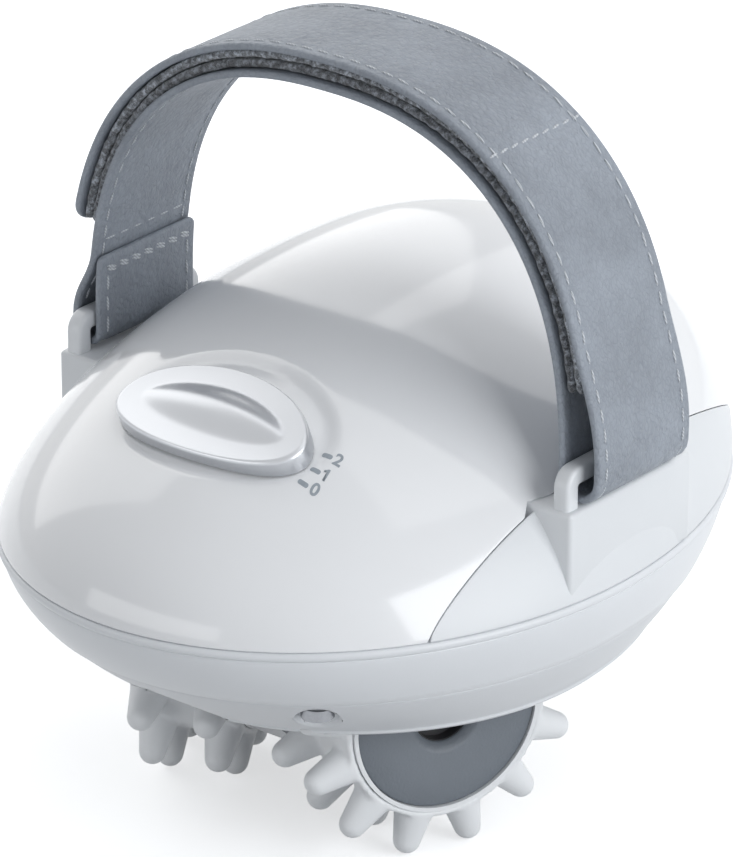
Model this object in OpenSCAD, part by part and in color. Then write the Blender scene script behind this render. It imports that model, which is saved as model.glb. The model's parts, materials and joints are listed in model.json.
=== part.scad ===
// Palm massager with two toed-in rollers, a hand strap and a slide switch.
// It stands on the tips of the roller nubs. Right is +X, the nose is -Y, up is +Z.

/* [Body shell] */
// Length of the body at the seam, nose to rear
body_l = 140; // [134:1:150]
// Width of the body at the seam
body_w = 111.6; // [108:0.2:118]
// Place of the widest section behind the middle
waist_y = -4; // [-8:1:4]
// Height of the dome above the seam
dome_h = 40.3; // [38:0.1:46]
// Place of the dome's top behind the middle
crown_y = 25; // [15:1:30]
// Wall of the moulded shells
wall = 2; // [1.6:0.1:2.6]
// Height of the side panels' arch above the seam
arch_h = 18.2; // [17.6:0.1:20]
// Length of the side panels' arch
arch_l = 101; // [90:1:110]
// Place of the arch's middle behind the body's middle
arch_y = 8; // [4:1:12]
// Gap along the side panels' edge
panel_gap = 0.2; // [0.1:0.05:0.4]

/* [Tray and base] */
// Depth from the seam down to the bottom rim
lower_h = 23.6; // [22:0.1:25]
// Height of the tray, measured down from the seam
tray_h = 12.2; // [10:0.1:14]
// Length of the bottom rim
rim_l = 103; // [98:1:108]
// Width of the bottom rim
rim_w = 89.2; // [88:0.2:96]
// Roll of the tray's bright lip
lip_r = 0.9; // [0.5:0.1:1.2]
// Height of the bottom rim's bead
bead_h = 1.4; // [1:0.1:2]
// Step of the base behind the tray
base_step = 0.4; // [0.2:0.1:0.8]
// Thickness of the floor plate
floor_t = 2; // [1.6:0.1:3]
// Depth that the gear housing's bosses sink into the floor plate
boss_sink = 0.7; // [0.3:0.1:1]
// Radius of the scoop in the nose of the base
scoop_r = 8; // [6:0.5:9]

/* [Rollers] */
// Toe angle of the roller axles
toe = 23.5; // [20:0.5:26]
// Distance from where the axles cross to a roller's outer face
face_r = 34.2; // [33:0.1:36]
// Distance behind the nose where the two axle lines cross
cross_back = 64.2; // [62:0.1:66]
// Depth of the axles below the seam
axle_drop = 26.2; // [25.6:0.1:28]
// Radius to the nub tips
tip_r = 26.3; // [25:0.1:26.6]
// Radius of the tyre under the nubs
tyre_r = 18.6; // [18.2:0.1:19.4]
// Thickness of the tyre
tyre_t = 1.2; // [0.8:0.1:1.8]
// Radius of the grey end disc
disc_r = 16.6; // [14:0.1:16.9]
// Nubs round each row
nubs = 13; // [11:1:14]
// Radius of a nub at its foot
nub_foot_r = 3.5; // [2.8:0.1:3.7]
// Radius of a nub at its rounded tip
nub_tip_r = 2.35; // [1.8:0.05:2.6]
// Depth of the first nub row behind the outer face
row_a = 3.6; // [3.6:0.1:4.5]
// Spacing of the two nub rows
row_gap = 11.6; // [10:0.1:12]
// Radius of the hole in the end disc
dish_r = 5.4; // [4.8:0.1:7]
// Room between the nubs and the body
nub_room = 1.3; // [1:0.1:2]

/* [Drive] */
// Radius of a roller axle
axle_r = 2; // [1.5:0.1:2.5]
// Running clearance of shafts in their bearings
run_fit = 0.05; // [0.02:0.01:0.1]
// Length of a bearing bush
bush_l = 8.6; // [6:0.2:9]
// Wall of a bearing bush
bush_t = 1.5; // [1:0.1:2]
// Distance from the middle to each coupling
coupling_x = 11; // [10.5:0.1:12]
// Outer radius of a coupling cup
cup_r = 5.2; // [4.8:0.1:5.6]
// Radius of the cross shaft
cross_r = 2; // [1.6:0.1:2.2]
// Radius of a drive pin
pin_r = 0.8; // [0.6:0.05:1]
// Play of a drive pin in its slot, each side
pin_play = 0.35; // [0.3:0.05:0.5]
// Tooth module of the worm drive
gear_m = 1; // [0.9:0.05:1.1]
// Teeth of the worm wheel
gear_z = 16; // [15:1:17]
// Face width of the worm wheel
gear_w = 5; // [4:0.5:6]
// Pitch radius of the worm
worm_r = 4; // [3.6:0.1:4.2]
// Length of the worm's thread
worm_l = 13; // [11:0.5:14]
// Radius of the motor shaft
shaft_r = 1; // [0.75:0.05:1.2]
// Wall of the gear housing
box_wall = 1.6; // [1.4:0.1:2]

// Chamfer along the gear housing's lower front edge
box_chamfer = 4.5; // [3:0.1:5]

/* [Motor] */
// Width of the motor can
motor_w = 20.4; // [18:0.2:22]
// Depth of the motor can across its flats
motor_d = 15.4; // [13:0.2:17]
// Length of the motor can with its end cap
motor_l = 24; // [20:0.5:24.5]
// Height of the motor's seat above the seam
motor_z = 2; // [1.6:0.1:2.6]

/* [Strap] */
// Width of the hand strap
strap_w = 25; // [22:0.5:26]
// Thickness of the strap band
strap_t = 1.3; // [1:0.1:1.6]
// Thickness of the hook strip and of the loop strip
pile_t = 1.7; // [1.4:0.1:2]
// Height of the hook and loop strips' lower right end above the seam
pile_low = 34; // [33:0.5:38]
// Margin of the strips inside the band's edges
pile_in = 1.5; // [1:0.1:3]
// Height of the strap's top above the seam
strap_top = 80.6; // [78:0.1:90]
// Bulge of the strap's right fold beyond the boss
fold_out = 2.5; // [2.2:0.1:4]
// Length of each side boss
boss_l = 33; // [33:0.5:36]
// Depth of the bosses' faces inside the body's half width
boss_in = 1.3; // [0.8:0.1:2]
// Height of the bosses above the seam
boss_h = 15.8; // [14:0.1:17]
// Thickness of the loop's bars
loop_t = 3.2; // [2.8:0.1:3.4]
// Height of the loop above its boss
loop_h = 7; // [6.6:0.1:8]
// Place of the strap's middle
strap_y = -0.8; // [-4:0.1:2]
// Clearance round the strap in its loops
fold_gap = 0.3; // [0.2:0.05:0.4]
// Height of the stitched tail's end above the seam
tail_h = 33; // [32:0.5:38]
// Height of the free end above the seam
free_h = 37; // [36.5:0.5:44]

/* [Switch] */
// Length of the knob, across the body
knob_w = 38.5; // [34:0.5:40]
// Width of the knob, along its travel
knob_d = 18.5; // [16:0.5:20]
// Rise of the knob over the dome
knob_rise = 3.2; // [2.4:0.1:4]
// Height of the knob's grip ridge
ridge_h = 0.9; // [0.5:0.1:1.4]
// Length of the grip ridge
ridge_l = 25; // [20:0.5:28]
// Depth of the seat sunk into the hood round the knob
seat_depth = 0.6; // [0.5:0.05:0.8]
// Width of the seat's border
seat_w = 2.5; // [2:0.1:3]
// Distance of the knob's middle behind the nose, switched off
knob_back = 29; // [27:0.5:29.5]
// Travel of the knob through its three positions
knob_travel = 4; // [3.5:0.5:4.5]
// Width of the slot under the knob
slot_w = 9; // [7:0.5:11]

/* [Supply] */
// Radius of the power inlet's hole
inlet_r = 3; // [2.7:0.1:3.3]
// Depth of the inlet below the seam
inlet_drop = 6; // [5.5:0.1:6.5]

// Side of the inlet's square housing
inlet_box = 9; // [8:0.5:9]
// Length of the inlet's housing
inlet_l = 11; // [9:0.5:13]

/* [Fastenings] */
// Radius of a case screw's shank
screw_r = 1.4; // [1.2:0.1:1.6]
// Radius of a case screw's head
head_r = 2.8; // [2.5:0.1:3]
// Length of a case screw's shank
screw_l = 14; // [12:0.5:16]
// Radius of a screw well
well_r = 3.7; // [3.4:0.1:4]
// Distance of the front screws from the middle
screw_x = 27; // [26.5:0.1:28]
// Distance of the front screws behind the nose
screw_front = 21.8; // [21.2:0.1:22.4]
// Distance of the rear screws ahead of the rear end
screw_rear = 26; // [24:0.5:28]

/* [Hidden] */
$fn = 48;
eps = 0.01;

// Heights above the surface that the nubs stand on
half_step = 180 / nubs;
axle_z = (tip_r - nub_tip_r) * cos(half_step) + nub_tip_r;
seam_z = axle_z + axle_drop;
rim_z = seam_z - lower_h;
tray_z = seam_z - tray_h;
bore_r = cup_r + 0.5;
boss_r = bore_r + box_wall;
floor_z = axle_z + boss_r - boss_sink;
cross_y = cross_back - body_l / 2;

// The shell's plan is an egg: widest at its waist, with its own nose and rear
segs = 72;
function egg(a, n, r, w) = [for (i = [0:segs - 1]) let (t = 360 * i / segs, s = sin(t))
    [a * cos(t), w + (s < 0 ? w - n : r - w) * s]];
function egg_at(ring) = egg(ring[1], ring[2], ring[3], ring[4]);

// A ring is height, half width, nose, rear and waist; inset moves it inwards
function dome_ring(u, inset = 0) = let (
    side = pow(1 - pow(u, 1.62), 1 / 2.08),
    nose = pow(1 - pow(u, 1.72), 1 / 1.81),
    rear = pow(1 - pow(u, 2.2), 1 / 1.9))
    [seam_z + u * (dome_h - inset), (body_w / 2 - inset) * side,
     crown_y - (crown_y + body_l / 2 - inset) * nose,
     crown_y + (body_l / 2 - inset - crown_y) * rear,
     waist_y + (crown_y - waist_y) * u];
function lower_ring(w, inset = 0) =
    [seam_z - w * lower_h,
     body_w / 2 - (body_w - rim_w) / 2 * pow(w, 1.95) - inset,
     -(body_l / 2 - (body_l - rim_l) / 2 * 1.18 * pow(w, 1.8)) + inset,
     body_l / 2 - (body_l - rim_l) / 2 * 0.88 * pow(w, 1.15) - inset,
     waist_y / (1 + w)];

// A closed skin through a stack of rings, given from either end
module loft(stack) {
    n = len(stack);
    rings = stack[0][0] < stack[n - 1][0] ? stack : [for (k = [n - 1:-1:0]) stack[k]];
    points = [for (r = rings) each [for (p = egg_at(r)) [p[0], p[1], r[0]]]];
    sides = [for (k = [0:n - 2], i = [0:segs - 1]) let (j = (i + 1) % segs, a = k * segs, b = a + segs)
        each [[a + i, b + j, a + j], [a + i, b + i, b + j]]];
    polyhedron(points, concat(sides,
        [[for (i = [0:segs - 1]) i]], [[for (i = [segs - 1:-1:0]) (n - 1) * segs + i]]), convexity = 6);
}
dome_steps = 11;
module dome(inset) {
    loft([for (k = [0:dome_steps]) dome_ring(min(0.996, sin(90 * k / dome_steps)), inset)]);
}
module dome_shell() {
    difference() {
        dome(0);
        translate([0, 0, -eps]) dome(wall);
    }
}
// Height of the dome's outside at a point of its middle plane, ahead of the crown
function dome_z(y) = let (s = (crown_y - y) / (crown_y + body_l / 2))
    seam_z + dome_h * pow(1 - pow(s, 1.81), 1 / 1.72);
function dome_slope(y) = atan((dome_z(y + 1) - dome_z(y - 1)) / 2);

// Side view of the arch that divides the hood from the side panels
function arch(gap) = let (h = arch_l / 2 - gap, steps = 28) concat(
    [for (i = [0:steps]) let (t = -cos(180 * i / steps))
        [arch_y + h * t, (arch_h - gap) * pow(max(0, 1 - t * t), 1 / 1.36)]]);
module arch_prism(gap) {
    translate([0, 0, seam_z - eps]) rotate([90, 0, 90]) linear_extrude(body_w)
        polygon(arch(gap));
}
panel_x = 20;
module mirror_x(flip) {
    if (flip) mirror([1, 0, 0]) children(); else children();
}

// The hood's screw posts stand on the tray's pads
pad_t = 2.4;
screw_spots = [for (s = [-1, 1]) each
    [[s * screw_x, screw_front - body_l / 2], [s * screw_x, body_l / 2 - screw_rear]]];
post_r = screw_r + 1.9;
pad_z = tray_z;
post_z = pad_z + pad_t;
post_top = seam_z + 9;
module hood() color("white") {
    difference() {
        dome_shell();
        for (s = [false, true]) mirror_x(s) {
            translate([panel_x, 0, 0]) arch_prism(0);
            boss_block(-panel_gap);
        }
        switch_slot();
    }
    for (p = screw_spots) difference() {
        intersection() {
            translate([p[0], p[1], post_z]) cylinder(h = 40, r = post_r);
            union() {
                translate([p[0], p[1], post_z]) cylinder(h = seam_z - post_z + 1, r = post_r);
                dome(wall - 0.6);
            }
        }
        translate([p[0], p[1], post_z - eps]) cylinder(h = screw_l - pad_t + 2, r = screw_r);
    }
}

// The knob slides along the dome's slope at the middle of its travel
slot_y = knob_back - body_l / 2 + knob_travel / 2;
knob_tilt = dome_slope(slot_y);
module at_slot(y = 0) {
    translate([0, slot_y, dome_z(slot_y)]) rotate([knob_tilt, 0, 0]) translate([0, y, 0]) children();
}
stem_d = 5;
stem_play = 0.4;
module switch_slot() {
    at_slot() translate([-slot_w / 2, -(stem_d + knob_travel) / 2 - stem_play, -8])
        cube([slot_w, stem_d + knob_travel + 2 * stem_play, 20]);
    difference() {
        at_slot() translate([0, 0, -10]) oval(knob_w / 2 + seat_w, (knob_d + knob_travel) / 2 + seat_w, 20);
        dome(seat_depth);
    }
}
// A flat oval, exact because it is one polygon
module oval(a, b, h) {
    linear_extrude(h) polygon([for (i = [0:47]) [a * cos(7.5 * i), b * sin(7.5 * i)]]);
}

// Side panels carry the strap bosses and the loops
boss_half = body_w / 2 - boss_in;
boss_deep = 16;
loop_l = strap_w + 0.4 + 2 * loop_t;
loop_x = boss_half - 1.1 - loop_t / 2;
foot_t = 1.6;
foot_play = 0.1;
module boss_block(inset) {
    translate([boss_half - boss_deep, strap_y - boss_l / 2 + inset, seam_z + inset / 2])
        cube([boss_deep - inset, boss_l - 2 * inset, boss_h - inset * 1.5]);
}
module side_panel(flip) mirror_x(flip) difference() {
    union() {
        intersection() {
            dome_shell();
            translate([panel_x, 0, 0]) arch_prism(panel_gap);
        }
        difference() {
            boss_block(0);
            translate([0, 0, -eps]) dome(wall);
        }
    }
    boss_block(wall);
    for (s = [-1, 1]) translate([loop_x - loop_t / 2 - foot_play,
        strap_y + s * (loop_l - loop_t) / 2 - loop_t / 2 - foot_play, seam_z + boss_h - 6])
        cube([loop_t + 2 * foot_play, loop_t + 2 * foot_play, 10]);
}
module side_panel_right() color("gainsboro") side_panel(false);
module side_panel_left() color("gainsboro") side_panel(true);

// A loop is a bent bar whose posts pass the boss and end in a foot plate
corner_r = loop_t;
module strap_loop(flip) mirror_x(flip) {
    top = boss_h + loop_h;
    foot = boss_h - wall - foot_t - 0.05;
    translate([loop_x - loop_t / 2, strap_y, seam_z]) {
        rotate([90, 0, 90]) linear_extrude(loop_t) difference() {
            translate([-loop_l / 2, foot]) union() {
                square([loop_l, top - foot - corner_r]);
                translate([corner_r, 0]) square([loop_l - 2 * corner_r, top - foot]);
                for (s = [corner_r, loop_l - corner_r]) translate([s, top - foot - corner_r]) circle(corner_r);
            }
            translate([-loop_l / 2 + loop_t, foot - 1]) square([loop_l - 2 * loop_t, top - foot + 1 - loop_t]);
        }
        translate([0, -loop_l / 2, foot])
            cube([boss_half - wall - foot_play - loop_x + loop_t / 2, loop_l, foot_t]);
    }
}
module strap_loop_right() color("snow") strap_loop(false);
module strap_loop_left() color("snow") strap_loop(true);

// The tray: a bright rolled lip under the seam, then a curved wall
tray_w = tray_h / lower_h;
module lower_tray() color("lightgray") {
    difference() {
        loft(concat([lower_ring(0, -0.1)],
            [for (t = [30, 90, 150]) let (r = lower_ring(0, -lip_r * 0.6 * sin(t)))
                [seam_z - lip_r * (1 - cos(t)), r[1], r[2], r[3], r[4]]],
            [for (k = [1:5]) lower_ring(0.1 + (tray_w - 0.1) * k / 5)]));
        loft(concat([let (r = lower_ring(0, wall)) [seam_z + 1, r[1], r[2], r[3], r[4]]],
            [for (k = [0:4]) lower_ring(tray_w * k / 4, wall)],
            [let (r = lower_ring(tray_w, wall)) [tray_z - 1, r[1], r[2], r[3], r[4]]]));
        inlet_hole();
    }
    for (p = screw_spots) difference() {
        tray_pad(p);
        translate([p[0], p[1], pad_z - 1]) cylinder(h = pad_t + 2, r = screw_r + 0.2);
    }
}
// A pad reaches from its screw into the wall
function pad_reach(d, r) = let (b = d[1] < 0 ? r[4] - r[2] : r[3] - r[4])
    norm(d) / norm([d[0] / r[1], d[1] / b]) - norm(d);
module tray_pad(p) {
    r = lower_ring(tray_w, wall * 0.45);
    d = [p[0], p[1] - r[4]];
    translate([p[0], p[1], pad_z]) {
        cylinder(h = pad_t, r = post_r + 0.3);
        rotate(atan2(d[1], d[0])) translate([0, 0.3 - post_r, 0]) cube([pad_reach(d, r), 2 * post_r - 0.6, pad_t]);
    }
}

// The base ring: a sloped skirt with a bead at its bottom and screw wells
module base_outer() {
    beads = [[0.35, 0.35], [0.75, 0.5], [1, 0.2]];
    loft(concat([for (k = [0:4]) lower_ring(tray_w + (1 - bead_h / lower_h - tray_w) * k / 4, base_step)],
        [for (b = beads) lower_ring(1 - bead_h / lower_h * (1 - b[0]), base_step - b[1])]));
}
module base_inner() {
    loft(concat([let (r = lower_ring(tray_w, wall + base_step)) [tray_z + 1, r[1], r[2], r[3], r[4]]],
        [for (k = [0:4]) lower_ring(tray_w + (1 - tray_w) * k / 4, wall + base_step)],
        [let (r = lower_ring(1, wall + base_step)) [rim_z - 1, r[1], r[2], r[3], r[4]]]));
}
head_z = pad_z - 2.2;
module base_ring() color("whitesmoke") difference() {
    union() {
        difference() {
            base_outer();
            base_inner();
        }
        intersection() {
            for (p = screw_spots) translate([p[0], p[1], floor_z + floor_t])
                cylinder(h = tray_z - floor_z - floor_t, r = well_r + 1.4);
            base_outer();
        }
        floor_ledge();
    }
    for (p = screw_spots) {
        translate([p[0], p[1], rim_z - 2]) cylinder(h = head_z - rim_z + 2, r = well_r);
        translate([p[0], p[1], rim_z]) cylinder(h = 30, r = screw_r + 0.2);
    }
    translate([0, -body_l / 2, rim_z]) rotate([-90, 0, 0]) cylinder(h = body_l / 4, r = scoop_r);
    for (s = [false, true]) mirror_x(s) nub_sweep(nub_room);
}
// A shelf inside the skirt that the floor plate rests against
module floor_ledge() {
    difference() {
        loft([for (k = [0, 1]) ring_at(floor_z + floor_t + 1.6 * k, wall)]);
        translate([0, 0, 0]) loft([for (k = [0, 1]) ring_at(floor_z + floor_t - 1 + 4 * k, wall + 3)]);
    }
}
function ring_at(z, inset) = let (r = lower_ring((seam_z - z) / lower_h, inset)) [z, r[1], r[2], r[3], r[4]];

// Frames at a roller: its X runs out along the axle from where the axles cross
module at_roller() {
    translate([0, cross_y, axle_z]) rotate([0, 0, -toe]) children();
}
core_r = tyre_r - tyre_t;
row_b = row_a + row_gap;
inner_t = face_r - row_b - nub_foot_r;
// The space that a turning roller needs, with room added all round
module nub_sweep(room) {
    at_roller() translate([inner_t - room, 0, 0]) rotate([0, 90, 0])
        cylinder(h = face_r - inner_t + 2 * room, r = tip_r + room, $fn = 96);
}

plate_gap = 0.15;
plate_room = 0.6;
// The floor plate closes the base between the roller openings
module floor_plate() color("silver") difference() {
    translate([0, 0, floor_z]) linear_extrude(floor_t) polygon(egg_at(
        lower_ring((seam_z - floor_z) / lower_h, wall + base_step + 0.3)));
    for (s = [false, true]) mirror_x(s) at_roller()
        translate([inner_t - plate_room, -tip_r - nub_room, -10])
            cube([40, 2 * (tip_r + nub_room), 40]);
    for (s = [false, true]) mirror_x(s) {
        housing_shape(plate_gap, 60);
        at_roller() rotate([0, 90, 0]) cylinder(h = bush_t0 + box_wall + plate_gap, r = boss_r + plate_gap);
    }
    for (p = screw_spots) translate([p[0], p[1], floor_z - 1]) cylinder(h = 10, r = well_r + 1.6);
}

// A wheel arch roofs each roller above the floor plate
arch_t = 1.3;
module wheel_arch(flip) mirror_x(flip) intersection() {
    difference() {
        at_roller() translate([inner_t - nub_room, 0, 0]) rotate([0, 90, 0])
            cylinder(h = face_r + 1 - inner_t + nub_room, r = tip_r + nub_room + arch_t, $fn = 96);
        at_roller() translate([inner_t - nub_room + arch_t, 0, 0]) rotate([0, 90, 0])
            cylinder(h = 40, r = tip_r + nub_room, $fn = 96);
        at_roller() rotate([0, 90, 0]) cylinder(h = 40, r = boss_r + 0.6);
    }
    translate([0, 0, floor_z + floor_t]) linear_extrude(40) polygon(egg_at(
        lower_ring((seam_z - floor_z - floor_t) / lower_h, wall + base_step + 3.4)));
}
module wheel_arch_right() color("silver") wheel_arch(false);
module wheel_arch_left() color("silver") wheel_arch(true);

// Case screws come up through the wells and the tray's pads into the posts
module case_screws() color("dimgray") for (p = screw_spots) translate([p[0], p[1], 0]) difference() {
    union() {
        translate([0, 0, head_z - 2]) cylinder(h = 2, r = head_r);
        translate([0, 0, head_z - 1]) cylinder(h = screw_l + 1, r = screw_r - 0.1);
    }
    for (a = [0, 90]) translate([0, 0, head_z - 2]) rotate(a) cube([3, 0.8, 1.6], center = true);
}

// Gear housing, parted on the middle plane
cross_c = cross_y - coupling_x * tan(toe);
coupling_t = coupling_x / cos(toe);
gear_r = gear_m * gear_z / 2;
centre_d = gear_r + worm_r;
worm_y = cross_c - centre_d;
bush_r = axle_r + bush_t;
cup_back = coupling_t + 4.8;
bush_t0 = cup_back + 0.4;
housing_t = inner_t - nub_room - 1;
box_top = seam_z + motor_z;
box_foot = axle_z - gear_r - gear_m - 0.8 - box_wall;
gear_gap = 0.7;
box_front = worm_y - worm_r - gear_m - gear_gap - box_wall;
// Plan of one half: from the parting plane out to a face square to the axle
module housing_shape(grow, top) {
    rear = cross_c + gear_r + gear_m + gear_gap + box_wall + grow;
    front = box_front - grow;
    function edge(y) = (housing_t + grow + (y - cross_y) * sin(toe)) / cos(toe);
    translate([0, 0, box_foot - grow]) linear_extrude(top) polygon([[0, front],
        [edge(front), front], [edge(rear), rear], [0, rear]]);
}
module housing_half(flip) mirror_x(flip) difference() {
    union() {
        housing_shape(0, box_top - box_foot);
        at_roller() translate([housing_t - 1, 0, 0]) rotate([0, 90, 0])
            cylinder(h = bush_t0 + bush_l - housing_t + 1, r = bush_r + box_wall);
        at_roller() translate([housing_t - 1, 0, 0]) rotate([0, 90, 0])
            cylinder(h = bush_t0 + box_wall - housing_t + 1, r = boss_r);
        motor_seat();
    }
    // Room for the worm wheel, the worm and the coupling
    translate([-1, cross_c, axle_z]) rotate([0, 90, 0])
        cylinder(h = gear_w / 2 + gear_gap + 1, r = gear_r + gear_m + gear_gap);
    translate([0, worm_y, axle_z - worm_l / 2 - 0.6]) cylinder(h = worm_l + 1.2, r = worm_r + gear_m + 0.5);
    at_roller() translate([coupling_t - 3.1, 0, 0]) rotate([0, 90, 0])
        cylinder(h = bush_t0 - coupling_t + 3.1, r = bore_r);
    // Bearings: the bush, the cross shaft and both ends of the motor shaft
    at_roller() rotate([0, 90, 0]) cylinder(h = 60, r = bush_r);
    translate([-1, cross_c, axle_z]) rotate([0, 90, 0]) cylinder(h = coupling_x, r = cross_r + run_fit);
    translate([0, worm_y, axle_z - worm_l / 2 - 3]) cylinder(h = 60, r = shaft_r + run_fit);
    translate([0, worm_y, axle_z + worm_l / 2]) cylinder(h = 60, r = shaft_r + 0.6);
    for (p = box_spots) translate([-1, p[0], p[1]]) rotate([0, 90, 0]) cylinder(h = 6, r = screw_bite);
    translate([-1, box_front, box_foot]) rotate([45, 0, 0])
        cube([60, box_chamfer * sqrt(2), box_chamfer * sqrt(2)], center = true);
    translate([-60, -100, 0]) cube([60, 200, 100]);
}
screw_bite = 0.85;
box_spots = [[cross_c + gear_r - 1, box_top - 5], [cross_c + gear_r - 1, axle_z + gear_r + 4.2]];
module gear_housing_right() color("burlywood") housing_half(false);
module gear_housing_left() color("tan") housing_half(true);
module housing_screws() color("gray") for (p = box_spots)
    translate([-4.8, p[0], p[1]]) rotate([0, 90, 0]) cylinder(h = 9.6, r = screw_bite);
// The flange under the motor, inside the wheel arches
module motor_seat() {
    translate([0, worm_y - motor_d / 2, box_top - 1.6]) cube([motor_w / 2 - 2.4, motor_d, 1.6]);
}

// Motor can with two flats, an end cap on top and its two terminals
cap_l = 4;
module motor_section(grow) {
    intersection() {
        circle(motor_w / 2 + grow, $fn = 96);
        square([motor_w * 2, motor_d + 2 * grow], center = true);
    }
}
module motor_can() color("silver") translate([0, worm_y, box_top]) difference() {
    linear_extrude(motor_l - cap_l) motor_section(0);
    translate([0, 0, -1]) cylinder(h = 40, r = shaft_r + run_fit);
}
module motor_end_cap() color("black") translate([0, worm_y, box_top + motor_l - cap_l]) difference() {
    linear_extrude(cap_l) motor_section(-0.3);
    translate([0, 0, -1]) cylinder(h = cap_l - 0.6, r = shaft_r + run_fit);
}
module motor_terminals() color("gold") for (s = [-1, 1])
    translate([s * 6 - 1.2, worm_y + motor_d / 2 - 2.4, box_top + motor_l]) cube([2.4, 0.5, 3]);
shaft_foot = axle_z - worm_l / 2 - 2.6;
module motor_shaft() color("lightsteelblue") translate([0, worm_y, shaft_foot])
    cylinder(h = box_top + motor_l - 1.6 - shaft_foot, r = shaft_r);

// Worm: a trapezoid thread as a skin of rings; each ring's radius follows the helix
worm_lead = PI * gear_m;
worm_n = 30;
worm_k = 52;
worm_play = 0.16;
function thread(phase) = let (d = abs(((phase % 1) + 1) % 1 - 0.5) * 2)
    // d runs 0 at a crest to 1 at a root
    let (crest = 0.26 - worm_play * 0.5, root = 0.62 - worm_play * 0.5)
    d < crest ? 1 : d > root ? 0 : (root - d) / (root - crest);
function worm_radius(a, z) = worm_r - 1.2 * gear_m
    + 2.1 * gear_m * thread(z / worm_lead - a / 360 + 0.5);
module worm() color("goldenrod") translate([0, worm_y, axle_z]) difference() {
    zs = [for (k = [0:worm_k]) -worm_l / 2 + worm_l * k / worm_k];
    polyhedron([for (z = zs, i = [0:worm_n - 1]) let (a = 360 * i / worm_n, r = worm_radius(a, z))
        [r * cos(a), r * sin(a), z]],
        concat([for (k = [0:worm_k - 1], i = [0:worm_n - 1])
            let (j = (i + 1) % worm_n, p = k * worm_n, q = p + worm_n)
            each [[p + i, q + j, p + j], [p + i, q + i, q + j]]],
            [[for (i = [0:worm_n - 1]) i]], [[for (i = [worm_n - 1:-1:0]) worm_k * worm_n + i]]));
    translate([0, 0, -worm_l]) cylinder(h = 2 * worm_l, r = shaft_r);
}

// Worm wheel with teeth set to the worm's lead angle
lead_angle = atan(worm_lead / (2 * PI * worm_r));
module worm_wheel() color("ivory") translate([0, cross_c, axle_z]) rotate([0, 90, 0]) difference() {
    translate([0, 0, -gear_w / 2]) linear_extrude(gear_w, slices = 6,
        twist = lead_hand * gear_w * tan(lead_angle) / gear_r * 180 / PI)
        rotate(lead_hand * gear_w / 2 * tan(lead_angle) / gear_r * 180 / PI + mesh_phase)
        polygon([for (k = [0:gear_z - 1]) each tooth(360 * k / gear_z)]);
    translate([0, 0, -gear_w]) cylinder(h = 2 * gear_w, r = cross_r);
}
lead_hand = -1;
mesh_phase = 270 + 90 / gear_z;
tooth_play = 0.12;
function tooth(a) = let (p = 360 / gear_z, f = p * (0.25 - tooth_play / 4),
    root = gear_r - 1.25 * gear_m, tip = gear_r + 0.9 * gear_m)
    [for (q = [[root, -f * 1.55], [gear_r, -f], [tip, -f * 0.42], [tip, f * 0.42], [gear_r, f], [root, f * 1.55]])
        q[0] * [cos(a + q[1]), sin(a + q[1])]];

// Cross shaft and the two pins that drive the cups
shaft_over = 2;
module cross_shaft() color("lightsteelblue") difference() {
    translate([-coupling_x - shaft_over, cross_c, axle_z]) rotate([0, 90, 0])
        cylinder(h = 2 * (coupling_x + shaft_over), r = cross_r);
    for (s = [-1, 1]) translate([s * coupling_x, cross_c, axle_z - 10]) cylinder(h = 20, r = pin_r);
}
pin_l = 2 * cup_r - 1;
module drive_pins() color("dimgray") for (s = [-1, 1])
    translate([s * coupling_x, cross_c, axle_z - pin_l / 2]) cylinder(h = pin_l, r = pin_r);

// An axle ends in a slotted cup that takes the drive pin
axle_end = face_r - 0.4;
module axle(flip) mirror_x(flip) at_roller() difference() {
    rotate([0, 90, 0]) union() {
        translate([0, 0, coupling_t - 2.2]) cylinder(h = cup_back - coupling_t + 2.2, r = cup_r);
        translate([0, 0, cup_back - 1]) cylinder(h = axle_end - cup_back + 1, r = axle_r);
    }
    translate([coupling_t - 3, 0, 0]) rotate([0, 90, 0]) cylinder(h = 6, r = 3.6);
    translate([coupling_t - 3, -pin_r - pin_play, -10]) cube([6, 2 * (pin_r + pin_play), 20]);
    translate([clip_t - 0.35, 0, 0]) rotate([0, 90, 0]) difference() {
        cylinder(h = 0.7, r = axle_r + 1);
        cylinder(h = 0.7, r = axle_r - 0.5);
    }
}
module axle_right() color("silver") axle(false);
module axle_left() color("silver") axle(true);
module bush(flip) mirror_x(flip) at_roller() translate([bush_t0, 0, 0]) rotate([0, 90, 0]) difference() {
    cylinder(h = bush_l, r = bush_r);
    translate([0, 0, -1]) cylinder(h = bush_l + 2, r = axle_r + run_fit);
}
module bush_right() color("peru") bush(false);
module bush_left() color("peru") bush(true);

// Wheel core: rim, web and hub, held on the axle by a clip
web_t0 = bush_t0 + bush_l + 0.4;
web_t = 2;
disc_t = 1.6;
disc_t0 = face_r - disc_t - 0.4;
hub_end = web_t0 + 4;
clip_t = hub_end + 0.4;
module wheel_core(flip) mirror_x(flip) at_roller() rotate([0, 90, 0]) difference() {
    union() {
        translate([0, 0, inner_t]) cylinder(h = face_r - inner_t, r = core_r, $fn = 96);
    }
    translate([0, 0, inner_t - 1]) cylinder(h = web_t0 - inner_t + 1, r = core_r - 1.8, $fn = 96);
    translate([0, 0, web_t0 + web_t]) difference() {
        cylinder(h = 20, r = disc_r - 1.2, $fn = 96);
        cylinder(h = hub_end - web_t0 - web_t, r = axle_r + 2.2);
        translate([0, 0, -1]) difference() {
            cylinder(h = disc_t0 - web_t0 - web_t + 1, r = disc_r);
            cylinder(h = 20, r = disc_r - 2.4);
        }
    }
    translate([0, 0, disc_t0]) cylinder(h = 20, r = disc_r + 0.1, $fn = 96);
    cylinder(h = 60, r = axle_r);
}
module wheel_core_right() color("white") wheel_core(false);
module wheel_core_left() color("white") wheel_core(true);

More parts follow.
